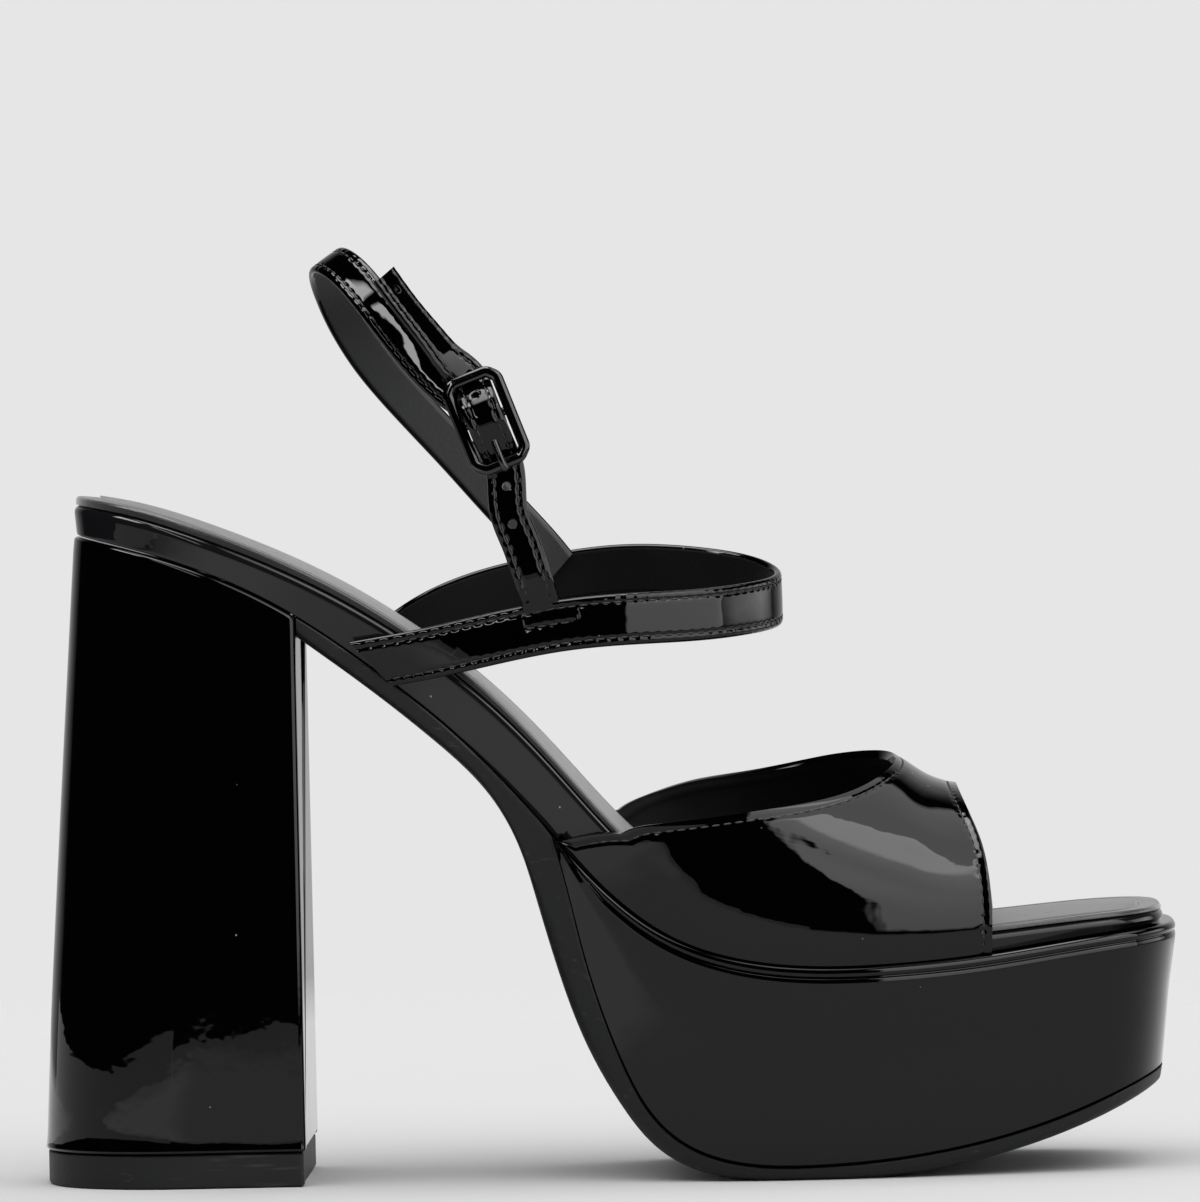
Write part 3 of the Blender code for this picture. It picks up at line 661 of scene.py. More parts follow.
# Upper lining: black, dull, with a pebble that only shows close by.
upper_lining = lining_finish("black_upper_lining", "020202", "050506", 0.5, 0.65, 0.12, 0.03)
vamp = add_piece("vamp_patent", vamp_skin, (upper_patent, upper_lining), ("vamp",))
wall = vamp.modifiers.new("wall_and_lining", "SOLIDIFY")
wall.thickness = VAMP_WALL * MM
wall.offset = -1.0
wall.use_even_offset = False
wall.material_offset = 1
folded = vamp.modifiers.new("folded_edges", "BEVEL")
folded.width = VAMP_EDGE_ROUND * MM
folded.segments = 4
folded.limit_method = "ANGLE"
folded.angle_limit = math.radians(60)
folded.profile = 0.5

# Sewing thread: bonded black polyester, two plies twisted, with painted shade in the grooves between the
# plies. A dull sheen on each short stitch.
STITCH_LENGTH = 1.7
STITCH_THICK = 0.42
STITCH_FLAT = 0.8
# share of a seam's depth that a stitch lies down in it
STITCH_SINK = 0.6
THREAD_TWIST = 0.5
THREAD_PLY = 0.05
# a wave texture repeats this many times in each unit of its scale
WAVES_IN_SCALE = 20 / (2 * math.pi)
thread, tree, shader, place = start_finish("black_thread", {"Roughness": 0.55})
twist = add_node(
    tree,
    "ShaderNodeTexWave",
    {"Vector": place, "Scale": 1 / (WAVES_IN_SCALE * THREAD_TWIST * MM), "Distortion": 1.0},
    bands_direction="DIAGONAL",
)
plies = add_node(
    tree, "ShaderNodeBump", {"Height": twist.outputs["Fac"], "Strength": 0.4, "Distance": THREAD_PLY * MM}
)
# Painted shade: the thread is darker in the grooves between its plies and lighter on their crests, following
# the same waves that raise them
ply_groove_shade = add_node(
    tree,
    "ShaderNodeMix",
    {"Factor": twist.outputs["Fac"], "A": linear("0c0c0d"), "B": linear("1d1d1f")},
    data_type="RGBA",
)
fill_sockets(tree, shader, {"Base Color": ply_groove_shade.outputs["Result"], "Normal": plies.outputs["Normal"]})


def turned_to(x_way, y_way, z_way):
    """A matrix that turns a shape's own axes to three ways."""
    return Matrix(np.stack((x_way, y_way, z_way), axis=1).tolist()).to_4x4()


def moved_to(point):
    """A matrix that moves a shape to a point of the tables."""
    return Matrix.Translation(Vector(point * MM + DATUM))


def sew(made, line, out):
    """Stitches in a row along a line of points on a surface, with a small gap after each."""
    run = run_lengths(line)
    middles = (np.arange(int(run[-1] / STITCH_PITCH)) + 0.5) * STITCH_PITCH
    starts, ends = (places_at(run, line, middles + side * STITCH_LENGTH / 2) for side in (-1, 1))
    half = Vector((STITCH_THICK, STITCH_FLAT * STITCH_THICK, STITCH_LENGTH)) * MM / 2
    size = Matrix.Diagonal((*half, 1.0))
    for start, end, up in zip(starts, ends, places_at(run, out, middles)):
        ahead = unit(end - start)
        side = unit(np.cross(up, ahead))
        laid = moved_to((start + end) / 2) @ turned_to(side, np.cross(ahead, side), ahead)
        bmesh.ops.create_uvsphere(made, u_segments=6, v_segments=5, radius=1.0, matrix=laid @ size)


seams = bmesh.new()
seam_row = int(np.argmin(np.abs(NEAR_EDGE - SEAM_IN)))
sewn = vamp_points - vamp_out * (STITCH_SINK * SEAM_DEPTH)
shows = np.abs(girths - 0.5) < 0.5 - VAMP_SEAM_END
for row in (seam_row, -1 - seam_row):
    sew(seams, sewn[shows, row], vamp_out[shows, row])
add_piece("vamp_stitches", seams, (thread,))


# Instep strap
# A lined patent strap across the instep, folded at both edges and sewn along them, with its two ends
# lasted in under the rand at the waist.

INSTEP_WIDTH = 10.2
INSTEP_THICK = 1.8
STRAP_SPACING = 0.42
# places along a strap's curve, from which its even ones are taken
STRAP_FINE = 4000
STRAP_EDGE = 0.75
STRAP_EDGE_STEPS = 8
STRAP_CROWN = 0.1
STRAP_SEAM_IN = 1.6
STRAP_SEAM_DEPTH = 0.27
STRAP_SEAM_HALF = 0.32
STRAP_STITCH_SINK = 0.5
# distances from a strap's seam at which rows of vertices lie
NEAR_SEAM = np.array((-0.7, -0.4, -0.2, 0.0, 0.2, 0.4, 0.7))
# puckers between the stitches: height, place out from the seam, half width, share on the rolled edge
STRAP_PUCKER = 0.05
PUCKER_OUT = 0.7
PUCKER_HALF = 0.5
PUCKER_ROLLED = 0.6
# the box of stitches that holds the buckle strap: start and end x, low and high across the strap
BOX_X = (-14.4, -3.2)
BOX_ACROSS = (0.5, 3.8)
BOX_DEPTH = 0.26
BOX_HALF = 0.42
BOX_PULL = 0.3
BOX_END_COUNT = 9
# x, y, z of the middle, turn about its own line in degrees, slant of a cut end
INSTEP_ROUTE = (
    (-45.0, -28.8, 103.2, 8.0, 3.4),
    (-36.0, -29.6, 104.6, 7.0, 1.0),
    (-22.0, -31.4, 107.4, -1.0, 0.0),
    (-8.0, -32.4, 109.9, -1.0, 0.0),
    (6.0, -31.6, 111.0, -2.0, 0.0),
    (19.0, -27.5, 111.4, -2.5, 0.0),
    (29.0, -19.0, 112.2, -2.5, 0.0),
    (34.8, -7.0, 113.3, -2.0, 0.0),
    (35.0, 5.0, 114.9, 0.0, 0.0),
    (29.0, 16.0, 117.3, 0.0, 0.0),
    (18.0, 22.5, 119.1, 0.0, 0.0),
    (4.0, 26.5, 119.7, 0.0, 0.0),
    (-12.0, 28.0, 117.8, 0.0, 0.0),
    (-27.0, 26.8, 114.2, 0.0, 0.0),
    (-37.0, 25.4, 109.6, 0.0, -1.0),
    (-45.0, 25.0, 103.6, 0.0, -3.4),
)
INSTEP_ACROSS = (0.0, 0.0, 1.0)


def strap_line(route, across_hint, outward):
    """Evenly spaced places along a strap, with the directions ahead, across and out, and the end slant."""
    rows = np.array(route, float)
    knots = run_lengths(rows[:, :3])
    curve = smooth_line(np.column_stack((knots, rows)))
    fine = np.linspace(0.0, knots[-1], STRAP_FINE)
    run = run_lengths(curve(fine)[:3].T)
    even = np.interp(np.linspace(0.0, run[-1], int(run[-1] / STRAP_SPACING) + 1), run, fine)
    *middle, turn, slant = curve(even)
    middle = np.stack(middle, axis=1)
    ahead = unit(np.gradient(middle, axis=0))
    hint = np.array(across_hint)
    across = unit(hint - ahead * (ahead @ hint)[:, None])
    out = np.cross(ahead, across)
    angle = np.radians(turn)[:, None]
    wide = across * np.cos(angle) + out * np.sin(angle)
    deep = out * np.cos(angle) - across * np.sin(angle)
    return middle, ahead, wide, deep * outward, slant


def strap_mesh(line, width, thick, relief=None, spread=1.0):
    """The lined strap along a line: outer face with its two sewn dips, rounded edges, inner face."""
    middle, ahead, wide, out, slant = line
    half_w, half_t = width / 2, thick / 2
    seam = half_w - STRAP_SEAM_IN
    near = seam + NEAR_SEAM
    field = np.linspace(-near[0], near[0], int(2 * near[0] / STRAP_SPACING))[1:-1]
    across = np.concatenate((-near[::-1], field, near))
    run = np.arange(len(middle))[:, None] * STRAP_SPACING
    from_seam = np.abs(across) - seam
    dip = STRAP_SEAM_DEPTH * np.exp(-((from_seam / STRAP_SEAM_HALF) ** 2)) * needle_pull(run)
    ripple = STRAP_PUCKER * needle_pull(run, 1.0)
    pucker = np.exp(-(((from_seam - PUCKER_OUT) / PUCKER_HALF) ** 2)) * ripple
    outer = half_t - STRAP_CROWN + STRAP_CROWN * (1 - (across / half_w) ** 2) - dip - pucker
    if relief is not None:
        outer = outer - relief(middle[:, :1], across)
    inner = -half_t + 0 * outer
    turn = np.linspace(-math.pi / 2, math.pi / 2, STRAP_EDGE_STEPS + 1)
    edge_in = half_w - STRAP_EDGE + STRAP_EDGE * np.cos(turn)
    edge_up = (half_t - STRAP_CROWN) * np.sin(turn)
    rolled = edge_up - PUCKER_ROLLED * ripple * np.clip(np.sin(turn), 0.0, 1.0)
    places = np.concatenate((across, edge_in[::-1], across[::-1], -edge_in))
    heights = np.concatenate((outer, rolled[:, ::-1], inner, rolled), axis=1)
    places, heights = np.append(places, places[0]), np.column_stack((heights, heights[:, 0]))
    spreading = np.broadcast_to(spread, len(middle))[:, None] * places
    points = (
        middle[:, None]
        + wide[:, None] * spreading[..., None]
        + out[:, None] * heights[..., None]
        - ahead[:, None] * (slant[:, None] * places / half_w)[..., None]
    )
    inner_start = len(across) + len(edge_in)
    lined = ((inner_start - 1, inner_start + len(across)),)
    return laid_grid(points.transpose(1, 0, 2), lined_rows=lined)


def strap_seams(line, width, thick, start, end):
    """Lines of stitches along both edges of a strap, between two lengths."""
    middle, _, wide, out, _ = line
    made = bmesh.new()
    run = np.arange(len(middle)) * STRAP_SPACING
    shown = (run >= start) & (run <= run[-1] - end)
    face = middle + out * (thick / 2 - STRAP_STITCH_SINK * STRAP_SEAM_DEPTH)
    for side in (-1, 1):
        sew(made, (face + wide * side * (width / 2 - STRAP_SEAM_IN))[shown], out[shown])
    return made


def sewn_box(x, across):
    """Depth of the dip along the box of stitches, on the outer side alone."""
    beyond_x = np.abs(x - np.mean(BOX_X)) - (BOX_X[1] - BOX_X[0]) / 2
    beyond_across = np.abs(across - np.mean(BOX_ACROSS)) - (BOX_ACROSS[1] - BOX_ACROSS[0]) / 2
    off = np.maximum(beyond_x, beyond_across)
    near_side = np.arange(len(x))[:, None] < len(x) / 2
    return BOX_DEPTH * np.exp(-((off / BOX_HALF) ** 2)) * needle_pull(x + across, BOX_PULL) * near_side


def add_strap(name, made, lining, seams):
    """A strap with its lining, and its stitches as a piece of their own."""
    add_piece(name, made, (upper_patent, lining), ("straps",))
    add_piece(name + "_stitches", seams, (thread,))


instep_line = strap_line(INSTEP_ROUTE, INSTEP_ACROSS, 1)
instep_mesh = strap_mesh(instep_line, INSTEP_WIDTH, INSTEP_THICK, sewn_box)
instep_seams = strap_seams(instep_line, INSTEP_WIDTH, INSTEP_THICK, 3.0, 3.0)
middle, _, wide, out, _ = instep_line
outer_half = np.arange(len(middle)) < len(middle) / 2
in_box = outer_half & (middle[:, 0] > BOX_X[0]) & (middle[:, 0] < BOX_X[1])
sewn_face = middle + out * (INSTEP_THICK / 2 - STRAP_STITCH_SINK * BOX_DEPTH)
sew(instep_seams, (sewn_face + wide * BOX_ACROSS[0])[in_box], out[in_box])
for k in np.flatnonzero(in_box)[[0, -1]]:
    box_end = sewn_face[k] + wide[k] * np.linspace(*BOX_ACROSS, BOX_END_COUNT)[:, None]
    sew(instep_seams, box_end, np.repeat(out[k][None], BOX_END_COUNT, axis=0))
add_strap("instep_strap", instep_mesh, upper_lining, instep_seams)


# Ankle strap
# A narrow lined patent strap from the inner side round the back of the ankle, folded round the centre
# bar of the buckle on the outer side.

ANKLE_WIDTH = 7.6
ANKLE_THICK = 1.6
# how much wider the strap is on the inner side, as a share, and the y where that starts and is full
FAR_SPREAD = 0.09
FAR_SPREAD_Y = (8.0, 20.0)
BUCKLE_MIDDLE = np.array((-21.0, -36.0, 150.7))
BUCKLE_UP = unit(np.array((-0.353, 0.1, 0.930)))
BUCKLE_ACROSS = unit(np.array((0.935, 0.0, 0.355)))
BUCKLE_OUT = np.cross(BUCKLE_ACROSS, BUCKLE_UP)
BAR_UP = 0.5
BAR_OUT = -0.6
BAR_RADIUS = 0.85
# the fold round the bar: steps, and the angles in degrees where it starts and ends
FOLD_STEPS = 7
FOLD_FROM = -90.0
FOLD_TO = -290.0
# columns as for the instep; the first rows lie inside the instep strap, where it is sewn on
ANKLE_ROUTE = (
    (-8.5, 26.3, 120.1, 0.0, -0.8),
    (-11.2, 26.6, 123.6, 0.0, 0.0),
    (-19.4, 28.0, 132.9, 4.0, 0.0),
    (-28.4, 27.8, 143.3, 8.0, 0.0),
    (-37.0, 25.2, 153.0, 12.0, 0.0),
    (-44.9, 20.5, 162.7, 14.0, 0.0),
    (-50.8, 12.8, 172.7, 16.0, 0.0),
    (-53.4, 2.0, 180.5, 16.0, 0.0),
    (-52.4, -9.0, 183.2, 14.0, 0.0),
    (-48.0, -18.6, 180.6, 10.0, 0.0),
)
# its buckle end: up, across and out from the buckle's middle, turn, slant
ANKLE_END = (
    (27.0, -10.9, -6.5, 6.0, 0.0),
    (16.0, -7.6, -5.0, 2.0, 0.0),
    (9.0, -4.5, -4.3, 0.0, 0.0),
    (5.0, -2.0, -3.6, 0.0, 0.0),
    (2.6, -0.5, -2.9, 0.0, 0.0),
)


def at_buckle(up, across, out):
    """A point given from the buckle's middle."""
    return BUCKLE_MIDDLE + up * BUCKLE_UP + across * BUCKLE_ACROSS + out * BUCKLE_OUT


def buckle_rows(rows):
    """Rows of a strap's route that are given from the buckle's middle."""
    return [(*at_buckle(*row[:3]), *row[3:]) for row in rows]


fold_radius = BAR_RADIUS + 2 * HALF_GAP + ANKLE_THICK / 2
fold_turn = np.radians(np.linspace(FOLD_FROM, FOLD_TO, FOLD_STEPS + 1))
fold_up = BAR_UP + fold_radius * np.cos(fold_turn)
fold_out = BAR_OUT + fold_radius * np.sin(fold_turn)
fold = [(up, 0.0, out, 0.0, 0.0) for up, out in zip(fold_up, fold_out)]
ankle_line = strap_line([*ANKLE_ROUTE, *buckle_rows((*ANKLE_END, *fold))], BUCKLE_ACROSS, 1)
far_side = (ankle_line[0][:, 1] - FAR_SPREAD_Y[0]) / (FAR_SPREAD_Y[1] - FAR_SPREAD_Y[0])
ankle_spread = 1 + FAR_SPREAD * np.clip(far_side, 0.0, 1.0)
ankle_mesh = strap_mesh(ankle_line, ANKLE_WIDTH, ANKLE_THICK, spread=ankle_spread)
# Strap lining: charcoal, duller than the sock, for the two ankle straps.
strap_lining = lining_finish("charcoal_strap_lining", "1d1e20", "27282a", 0.4, 0.55, 0.4, 0.05)
ankle_seams = strap_seams(ankle_line, ANKLE_WIDTH, ANKLE_THICK, 2.0, 12.0)
add_strap("ankle_strap", ankle_mesh, strap_lining, ankle_seams)


# Buckle strap
# The punched end of the ankle fastening: sewn in between the instep strap's two layers with a small box of
# stitches, up through the buckle, under its two rails and over its bar, and out to a free end that twists
# away.

HOLE_RADIUS = 0.85
HOLE_RIM = 0.14
# columns as for the instep: from inside the instep strap up to the buckle
BUCKLE_ROUTE = (
    (-10.2, -32.4, 108.6, 0.0, 0.0),
    (-11.1, -32.45, 114.2, 0.0, 0.0),
    (-11.5, -33.3, 115.9, 0.0, 0.0),
    (-11.9, -34.4, 117.4, 0.0, 0.0),
    (-12.6, -35.0, 119.6, 0.0, 0.0),
    (-14.8, -35.0, 126.6, 0.0, 0.0),
    (-16.9, -34.9, 132.5, 0.0, 0.0),
)
# through the buckle and out to the free end: up, across and out from its middle, turn, slant
BUCKLE_THREAD = (
    (-13.0, -1.0, -2.7, 0.0, 0.0),
    (-9.2, 0.0, -2.3, 0.0, 0.0),
    (-6.2, 0.0, -0.4, 0.0, 0.0),
    (-2.4, 0.0, 2.75, 0.0, 0.0),
    (0.5, 0.0, 3.4, 0.0, 0.0),
    (3.4, 0.0, 2.6, 0.0, 0.0),
    (6.7, 0.0, -0.5, 0.0, 0.0),
    (9.2, -0.2, -2.3, 6.0, 0.0),
    (13.0, -1.8, -1.9, 32.0, 0.0),
    (19.0, -3.8, -0.9, 47.0, 0.0),
    (27.0, -6.2, -0.6, 51.0, 0.0),
    (34.4, -8.1, -0.6, 50.0, -0.6),
)
# x, y, z near the middle of each punched hole
HOLES = (
    (-15.9, -35.1, 130.4),
    (-17.4, -35.0, 137.6),
    tuple(at_buckle(5.0, 0.0, 1.4)),
    tuple(at_buckle(30.6, -7.1, -0.6)),
)


def punch(made, line, near):
    """A round hole through a strap, with its cut edges turned over a little."""
    middle, ahead, wide, out, _ = line
    k = int(np.argmin(np.linalg.norm(middle - np.array(near), axis=1)))
    axes = np.stack((ahead[k], wide[k], out[k]))
    centre = middle[k]

    def offsets(point):
        return axes @ ((np.array(point) - DATUM) / MM - centre)

    gone = []
    for face in made.faces:
        along, across, depth = offsets(face.calc_center_median())
        if math.hypot(along, across) < HOLE_RADIUS and abs(depth) < ANKLE_THICK:
            gone.append(face)
    bmesh.ops.delete(made, geom=gone, context="FACES")
    cut = [edge for edge in made.edges if edge.is_boundary]
    for vert in {vert for edge in cut for vert in edge.verts}:
        along, across, depth = offsets(vert.co)
        size = HOLE_RADIUS / math.hypot(along, across)
        vert.co = (centre + np.array((along * size, across * size, depth)) @ axes) * MM + DATUM
    bmesh.ops.bridge_loops(made, edges=cut)
    bmesh.ops.bevel(
        made, geom=cut, offset=HOLE_RIM * MM, segments=2, profile=0.5, affect="EDGES", material=-1
    )


buckle_line = strap_line([*BUCKLE_ROUTE, *buckle_rows(BUCKLE_THREAD)], BUCKLE_ACROSS, -1)
buckle_strap = strap_mesh(buckle_line, ANKLE_WIDTH, ANKLE_THICK)
for hole in HOLES:
    punch(buckle_strap, buckle_line, hole)
buckle_seams = strap_seams(buckle_line, ANKLE_WIDTH, ANKLE_THICK, 8.0, 2.0)
add_strap("buckle_strap", buckle_strap, strap_lining, buckle_seams)


# Buckle
# A small cast frame with cut corners and a centre bar, and a bent wire prong that turns on the bar
# and rests on the lower rail.

FRAME_HALF_UP = 9.1
FRAME_HALF_ACROSS = 5.2
FRAME_CUT = 1.6
FRAME_ROUND = 1.6
FRAME_HALF_WIDE = 1.15
FRAME_HALF_DEEP = 0.85
FRAME_POWER = 2.2
SECTION_STEPS = 32
# the frame has eight corners, each an eighth of a turn in degrees
CORNER_TURN = 45.0
CORNER_STEPS = 4
BAR_SEGMENTS = 20
PRONG_RADIUS = 0.75
# smallest share of a radius from which the rounding of an end is worked out
PRONG_TIP = 0.05
PRONG_COUNT = 50
PRONG_SEGMENTS = 14
# up and out of the prong's middle, from behind the centre bar to the lower rail
PRONG_ROUTE = (
    (2.28, -1.0),
    (2.2, 0.05),
    (1.5, 0.95),
    (0.4, 1.25),
    (-2.0, 1.5),
    (-5.0, 1.8),
    (-8.0, 2.05),
    (-9.6, 1.95),
    (-10.9, 1.4),
)

# Black plated metal: cast zinc, polished, under a black nickel plate. Mirrors the lights sharply.
PLATE_GRAIN = 3.0
PLATE_RELIEF = 0.03
black_metal, tree, shader, place = start_finish("black_plated_metal", {"Metallic": 1.0})
plate = add_node(
    tree, "ShaderNodeTexNoise", {"Vector": place, "Scale": 1 / (PLATE_GRAIN * MM), "Detail": 3.0}
)
plate_tone = add_node(
    tree,
    "ShaderNodeMix",
    {"Factor": plate.outputs["Fac"], "A": linear("363637"), "B": linear("464647")},
    data_type="RGBA",
)
plate_gloss = add_node(
    tree, "ShaderNodeMapRange", {"Value": plate.outputs["Fac"], "To Min": 0.05, "To Max": 0.14}
)
casting = add_node(
    tree, "ShaderNodeBump", {"Height": plate.outputs["Fac"], "Strength": 0.3, "Distance": PLATE_RELIEF * MM}
)
fill_sockets(
    tree,
    shader,
    {
        "Base Color": plate_tone.outputs["Result"],
        "Roughness": plate_gloss.outputs["Result"],
        "Normal": casting.outputs["Normal"],
    },
)

section_turn = np.linspace(0.0, 2 * math.pi, SECTION_STEPS + 1)
section_wide, section_deep = (
    half * np.sign(side) * np.abs(side) ** (2 / FRAME_POWER)
    for half, side in ((FRAME_HALF_WIDE, np.cos(section_turn)), (FRAME_HALF_DEEP, np.sin(section_turn)))
)
reach = FRAME_ROUND + section_wide
reach_in = FRAME_ROUND / math.cos(math.radians(CORNER_TURN / 2))
frame_rings = []
for turned in range(8):
    corner_up, corner_across = ((1, 1), (-1, 1), (-1, -1), (1, -1))[turned // 2]
    long_cut = turned % 2 == (0 if corner_up * corner_across > 0 else 1)
    bisector = math.radians(CORNER_TURN * (turned + 0.5))
    up = corner_up * (FRAME_HALF_UP - (0.0 if long_cut else FRAME_CUT))
    up -= reach_in * math.cos(bisector)
    across = corner_across * (FRAME_HALF_ACROSS - (FRAME_CUT if long_cut else 0.0))
    across -= reach_in * math.sin(bisector)
    for angle in np.radians(CORNER_TURN * (turned + np.linspace(0.0, 1.0, CORNER_STEPS + 1))):
        ring = zip(up + math.cos(angle) * reach, across + math.sin(angle) * reach, section_deep)
        frame_rings.append([at_buckle(*three) for three in ring])
frame_rings.append(frame_rings[0])
buckle_frame = laid_grid(np.array(frame_rings))
bar_turn = turned_to(BUCKLE_UP, BUCKLE_OUT, np.cross(BUCKLE_UP, BUCKLE_OUT))
bmesh.ops.create_cone(
    buckle_frame,
    cap_ends=True,
    segments=BAR_SEGMENTS,
    radius1=BAR_RADIUS * MM,
    radius2=BAR_RADIUS * MM,
    depth=2 * FRAME_HALF_ACROSS * MM,
    matrix=moved_to(at_buckle(BAR_UP, 0.0, BAR_OUT)) @ bar_turn,
)
add_piece("buckle_frame_cast", buckle_frame, (black_metal,), ("buckle_frame",))


def curve_through(rows, count):
    """Even places along the smooth curve through a table's rows, and the points there."""
    knots = run_lengths(np.array(rows))
    places = np.linspace(0.0, knots[-1], count)
    return places, smooth_line(np.column_stack((knots, rows)))(places).T


prong_places, prong_line = curve_through(PRONG_ROUTE, PRONG_COUNT)
prong_middle = np.array([at_buckle(up, 0.0, out) for up, out in prong_line])
prong_ahead = unit(np.gradient(prong_middle, axis=0))
prong_out = np.cross(prong_ahead, BUCKLE_ACROSS)
to_end = np.minimum(prong_places, prong_places[-1] - prong_places)
from_round = 1 - np.clip(to_end / PRONG_RADIUS, PRONG_TIP, 1.0)
prong_radius = PRONG_RADIUS * np.sqrt(1 - from_round**2)
round_turn = np.linspace(0.0, 2 * math.pi, PRONG_SEGMENTS + 1)
prong_points = prong_middle[:, None] + prong_radius[:, None, None] * (
    BUCKLE_ACROSS * np.cos(round_turn)[:, None] + prong_out[:, None] * np.sin(round_turn)[:, None]
)
add_piece("buckle_prong_wire", laid_grid(prong_points), (black_metal,), ("buckle_prong",))


# Platform
# A thick block of light foam wrapped in patent, its side leaning in towards the floor, its top edge
# turned over in a small round.

# x, z of the joint between outsole and platform
JOINT_LINE = (
    (-9.9, 68.4),
    (-7.1, 57.4),
    (-4.6, 46.6),
    (-2.0, 37.2),
    (1.1, 28.2),
    (4.2, 20.8),
    (8.0, 14.0),
    (13.4, 8.4),
    (20.0, 4.9),
    (28.5, 3.0),
    (40.0, 2.6),
    (56.0, 3.6),
    (72.0, 6.1),
    (88.0, 10.5),
    (99.0, 14.8),
    (110.3, 19.8),
)
# share of the wall's height, out from the footbed's edge
PLATFORM_WALL = (
    (0.0, 0.7),
    (0.35, 1.2),
    (0.7, 1.8),
    (0.93, 2.5),
    (1.0, 2.6),
)
PLATFORM_TOE_X = 113.4
PLATFORM_LOW_TOE_X = 110.3
PLATFORM_BACK_X = -9.4
PLATFORM_FOOT_ROUND = 0.5
# in from the wall, down from the top: a pressed groove, and the rolled bead over it
PLATFORM_BEAD = (
    (0.0, 3.2),
    (0.0, 2.6),
    (0.1, 2.3),
    (0.4, 2.1),
    (0.42, 1.95),
    (0.12, 1.75),
    (0.0, 1.45),
    (-0.04, 1.1),
    (0.03, 0.75),
    (0.2, 0.42),
    (0.5, 0.15),
    (0.9, 0.02),
    (1.3, 0.0),
)
# heights of the rim lines in the lower wall, and shares of the way from there up to the bead
PLATFORM_LOW_LEVELS = np.linspace(0.01, 0.55, 14)
PLATFORM_HIGH_SHARES = (0.2, 0.4, 0.6, 0.8)
# largest share of the wall's height that bead and groove take up, where the block runs out thin
BEAD_SHARE = 0.4
TOE_LENGTH = 50.0
FORE_STEPS = 90
BALL_STEPS = 24
# points in a line that stations are taken from
LINE_COUNT = 600


def paired_line(line, toe_end):
    """Stations from the waist to the toe: by length up to the ball, then level with the toe's end."""
    ball_x = toe_end - TOE_LENGTH
    turn_x = toe_end - TOE_ROUND
    rear = np.vstack((line[line[:, 0] < ball_x], (ball_x, np.interp(ball_x, *line.T))))
    run = run_lengths(rear)
    rear_even = places_at(run, rear, np.linspace(0.0, run[-1], FORE_STEPS + 1))
    ball_stations = np.linspace(ball_x, turn_x, BALL_STEPS + 1)[1:-1]
    fore_x = np.concatenate((ball_stations, turn_x + TOE_ROUND * toe_share))
    return np.vstack((rear_even, np.stack((fore_x, np.interp(fore_x, *line.T)), axis=1)))


fore_width = np.concatenate((np.ones(FORE_STEPS + BALL_STEPS), toe_width))
joint_points = curve_through(JOINT_LINE, LINE_COUNT)[1]
seat_x = np.linspace(PLATFORM_BACK_X, PLATFORM_TOE_X, LINE_COUNT)
platform_low = paired_line(joint_points, PLATFORM_LOW_TOE_X)
steep = np.clip(1 - np.arange(len(platform_low)) / FORE_STEPS, 0.0, 1.0)
platform_low = platform_low + HALF_GAP * np.stack((steep, np.ones(len(steep))), axis=1)
platform_high = paired_line(np.stack((seat_x, seat_line(seat_x)[0] - HALF_GAP), axis=1), PLATFORM_TOE_X)
wall_out = smooth_line(PLATFORM_WALL)


def platform_line(up):
    """A line round the platform at a share of its wall's height."""
    x, z = (platform_low + (platform_high - platform_low) * up).T
    return rim_line(x, fore_width, z, wall_out(up)[0])


wall_height = platform_high[:, 1] - platform_low[:, 1]
bead_room = np.clip(BEAD_SHARE * wall_height / PLATFORM_BEAD[0][1], 0.0, 1.0)
bead_room = np.concatenate((bead_room, bead_room[-2::-1]))
platform_top = platform_line(1.0)
bead_levels = [
    inset(raised(platform_top, -down * bead_room), side, seat_line) for side, down in PLATFORM_BEAD
]
platform_levels = [inset(platform_line(0.0), PLATFORM_FOOT_ROUND)]
platform_levels += [platform_line(up) for up in PLATFORM_LOW_LEVELS]
lower_wall, below_bead = platform_levels[-1], bead_levels[0]
platform_levels += [lower_wall + (below_bead - lower_wall) * share for share in PLATFORM_HIGH_SHARES]
platform_levels += bead_levels
# Cover patent: stretched over the blocks of platform and heel, so its film lies in long, shallow waves.
cover_patent = patent_finish("cover_patent", "020202", 15.0, 0.1)
add_piece("platform_cover", banded_body(platform_levels), (cover_patent,), ("platform",))


# Block heel
# A hollow moulded block covered in patent, flared to the floor at the back and sides. The cover is
# turned round the breast edges and under the foot.

HEEL_BREAST_X = -60.0
HEEL_TOP_BACK_X = -104.9
HEEL_FOOT_BACK_X = -113.2
HEEL_FOOT_OUTER = 29.6
HEEL_FOOT_INNER = 27.6
HEEL_FOOT_Z = 7.0
HEEL_BREAST_ROUND = 1.0
HEEL_BROW_ROUND = 1.0
HEEL_FOOT_ROUND = 0.6
HEEL_BREAST_TURN = 3.0
# shares of the height of its rim lines: close together where the cover flares out at the foot, then even
HEEL_FOOT_LEVELS = (0.007, 0.013, 0.02, 0.028, 0.038, 0.052, 0.072)
HEEL_WALL_LEVELS = np.linspace(0.1, 0.975, 28)
STRAIGHT_STEPS = 14
# share of the height, share of the flare of the two sides that is left there
HEEL_FLARE = (
    (0.0, 1.0),
    (0.012, 0.966),
    (0.03, 0.942),
    (0.05, 0.935),
    (0.08, 0.931),
    (0.2, 0.885),
    (0.3, 0.8),
    (0.5, 0.59),
    (0.75, 0.3),
    (1.0, 0.0),
)
# how much of that shape the back follows, the rest of which is straight
HEEL_BACK_CURVE = 0.35
heel_flare = smooth_line(HEEL_FLARE)


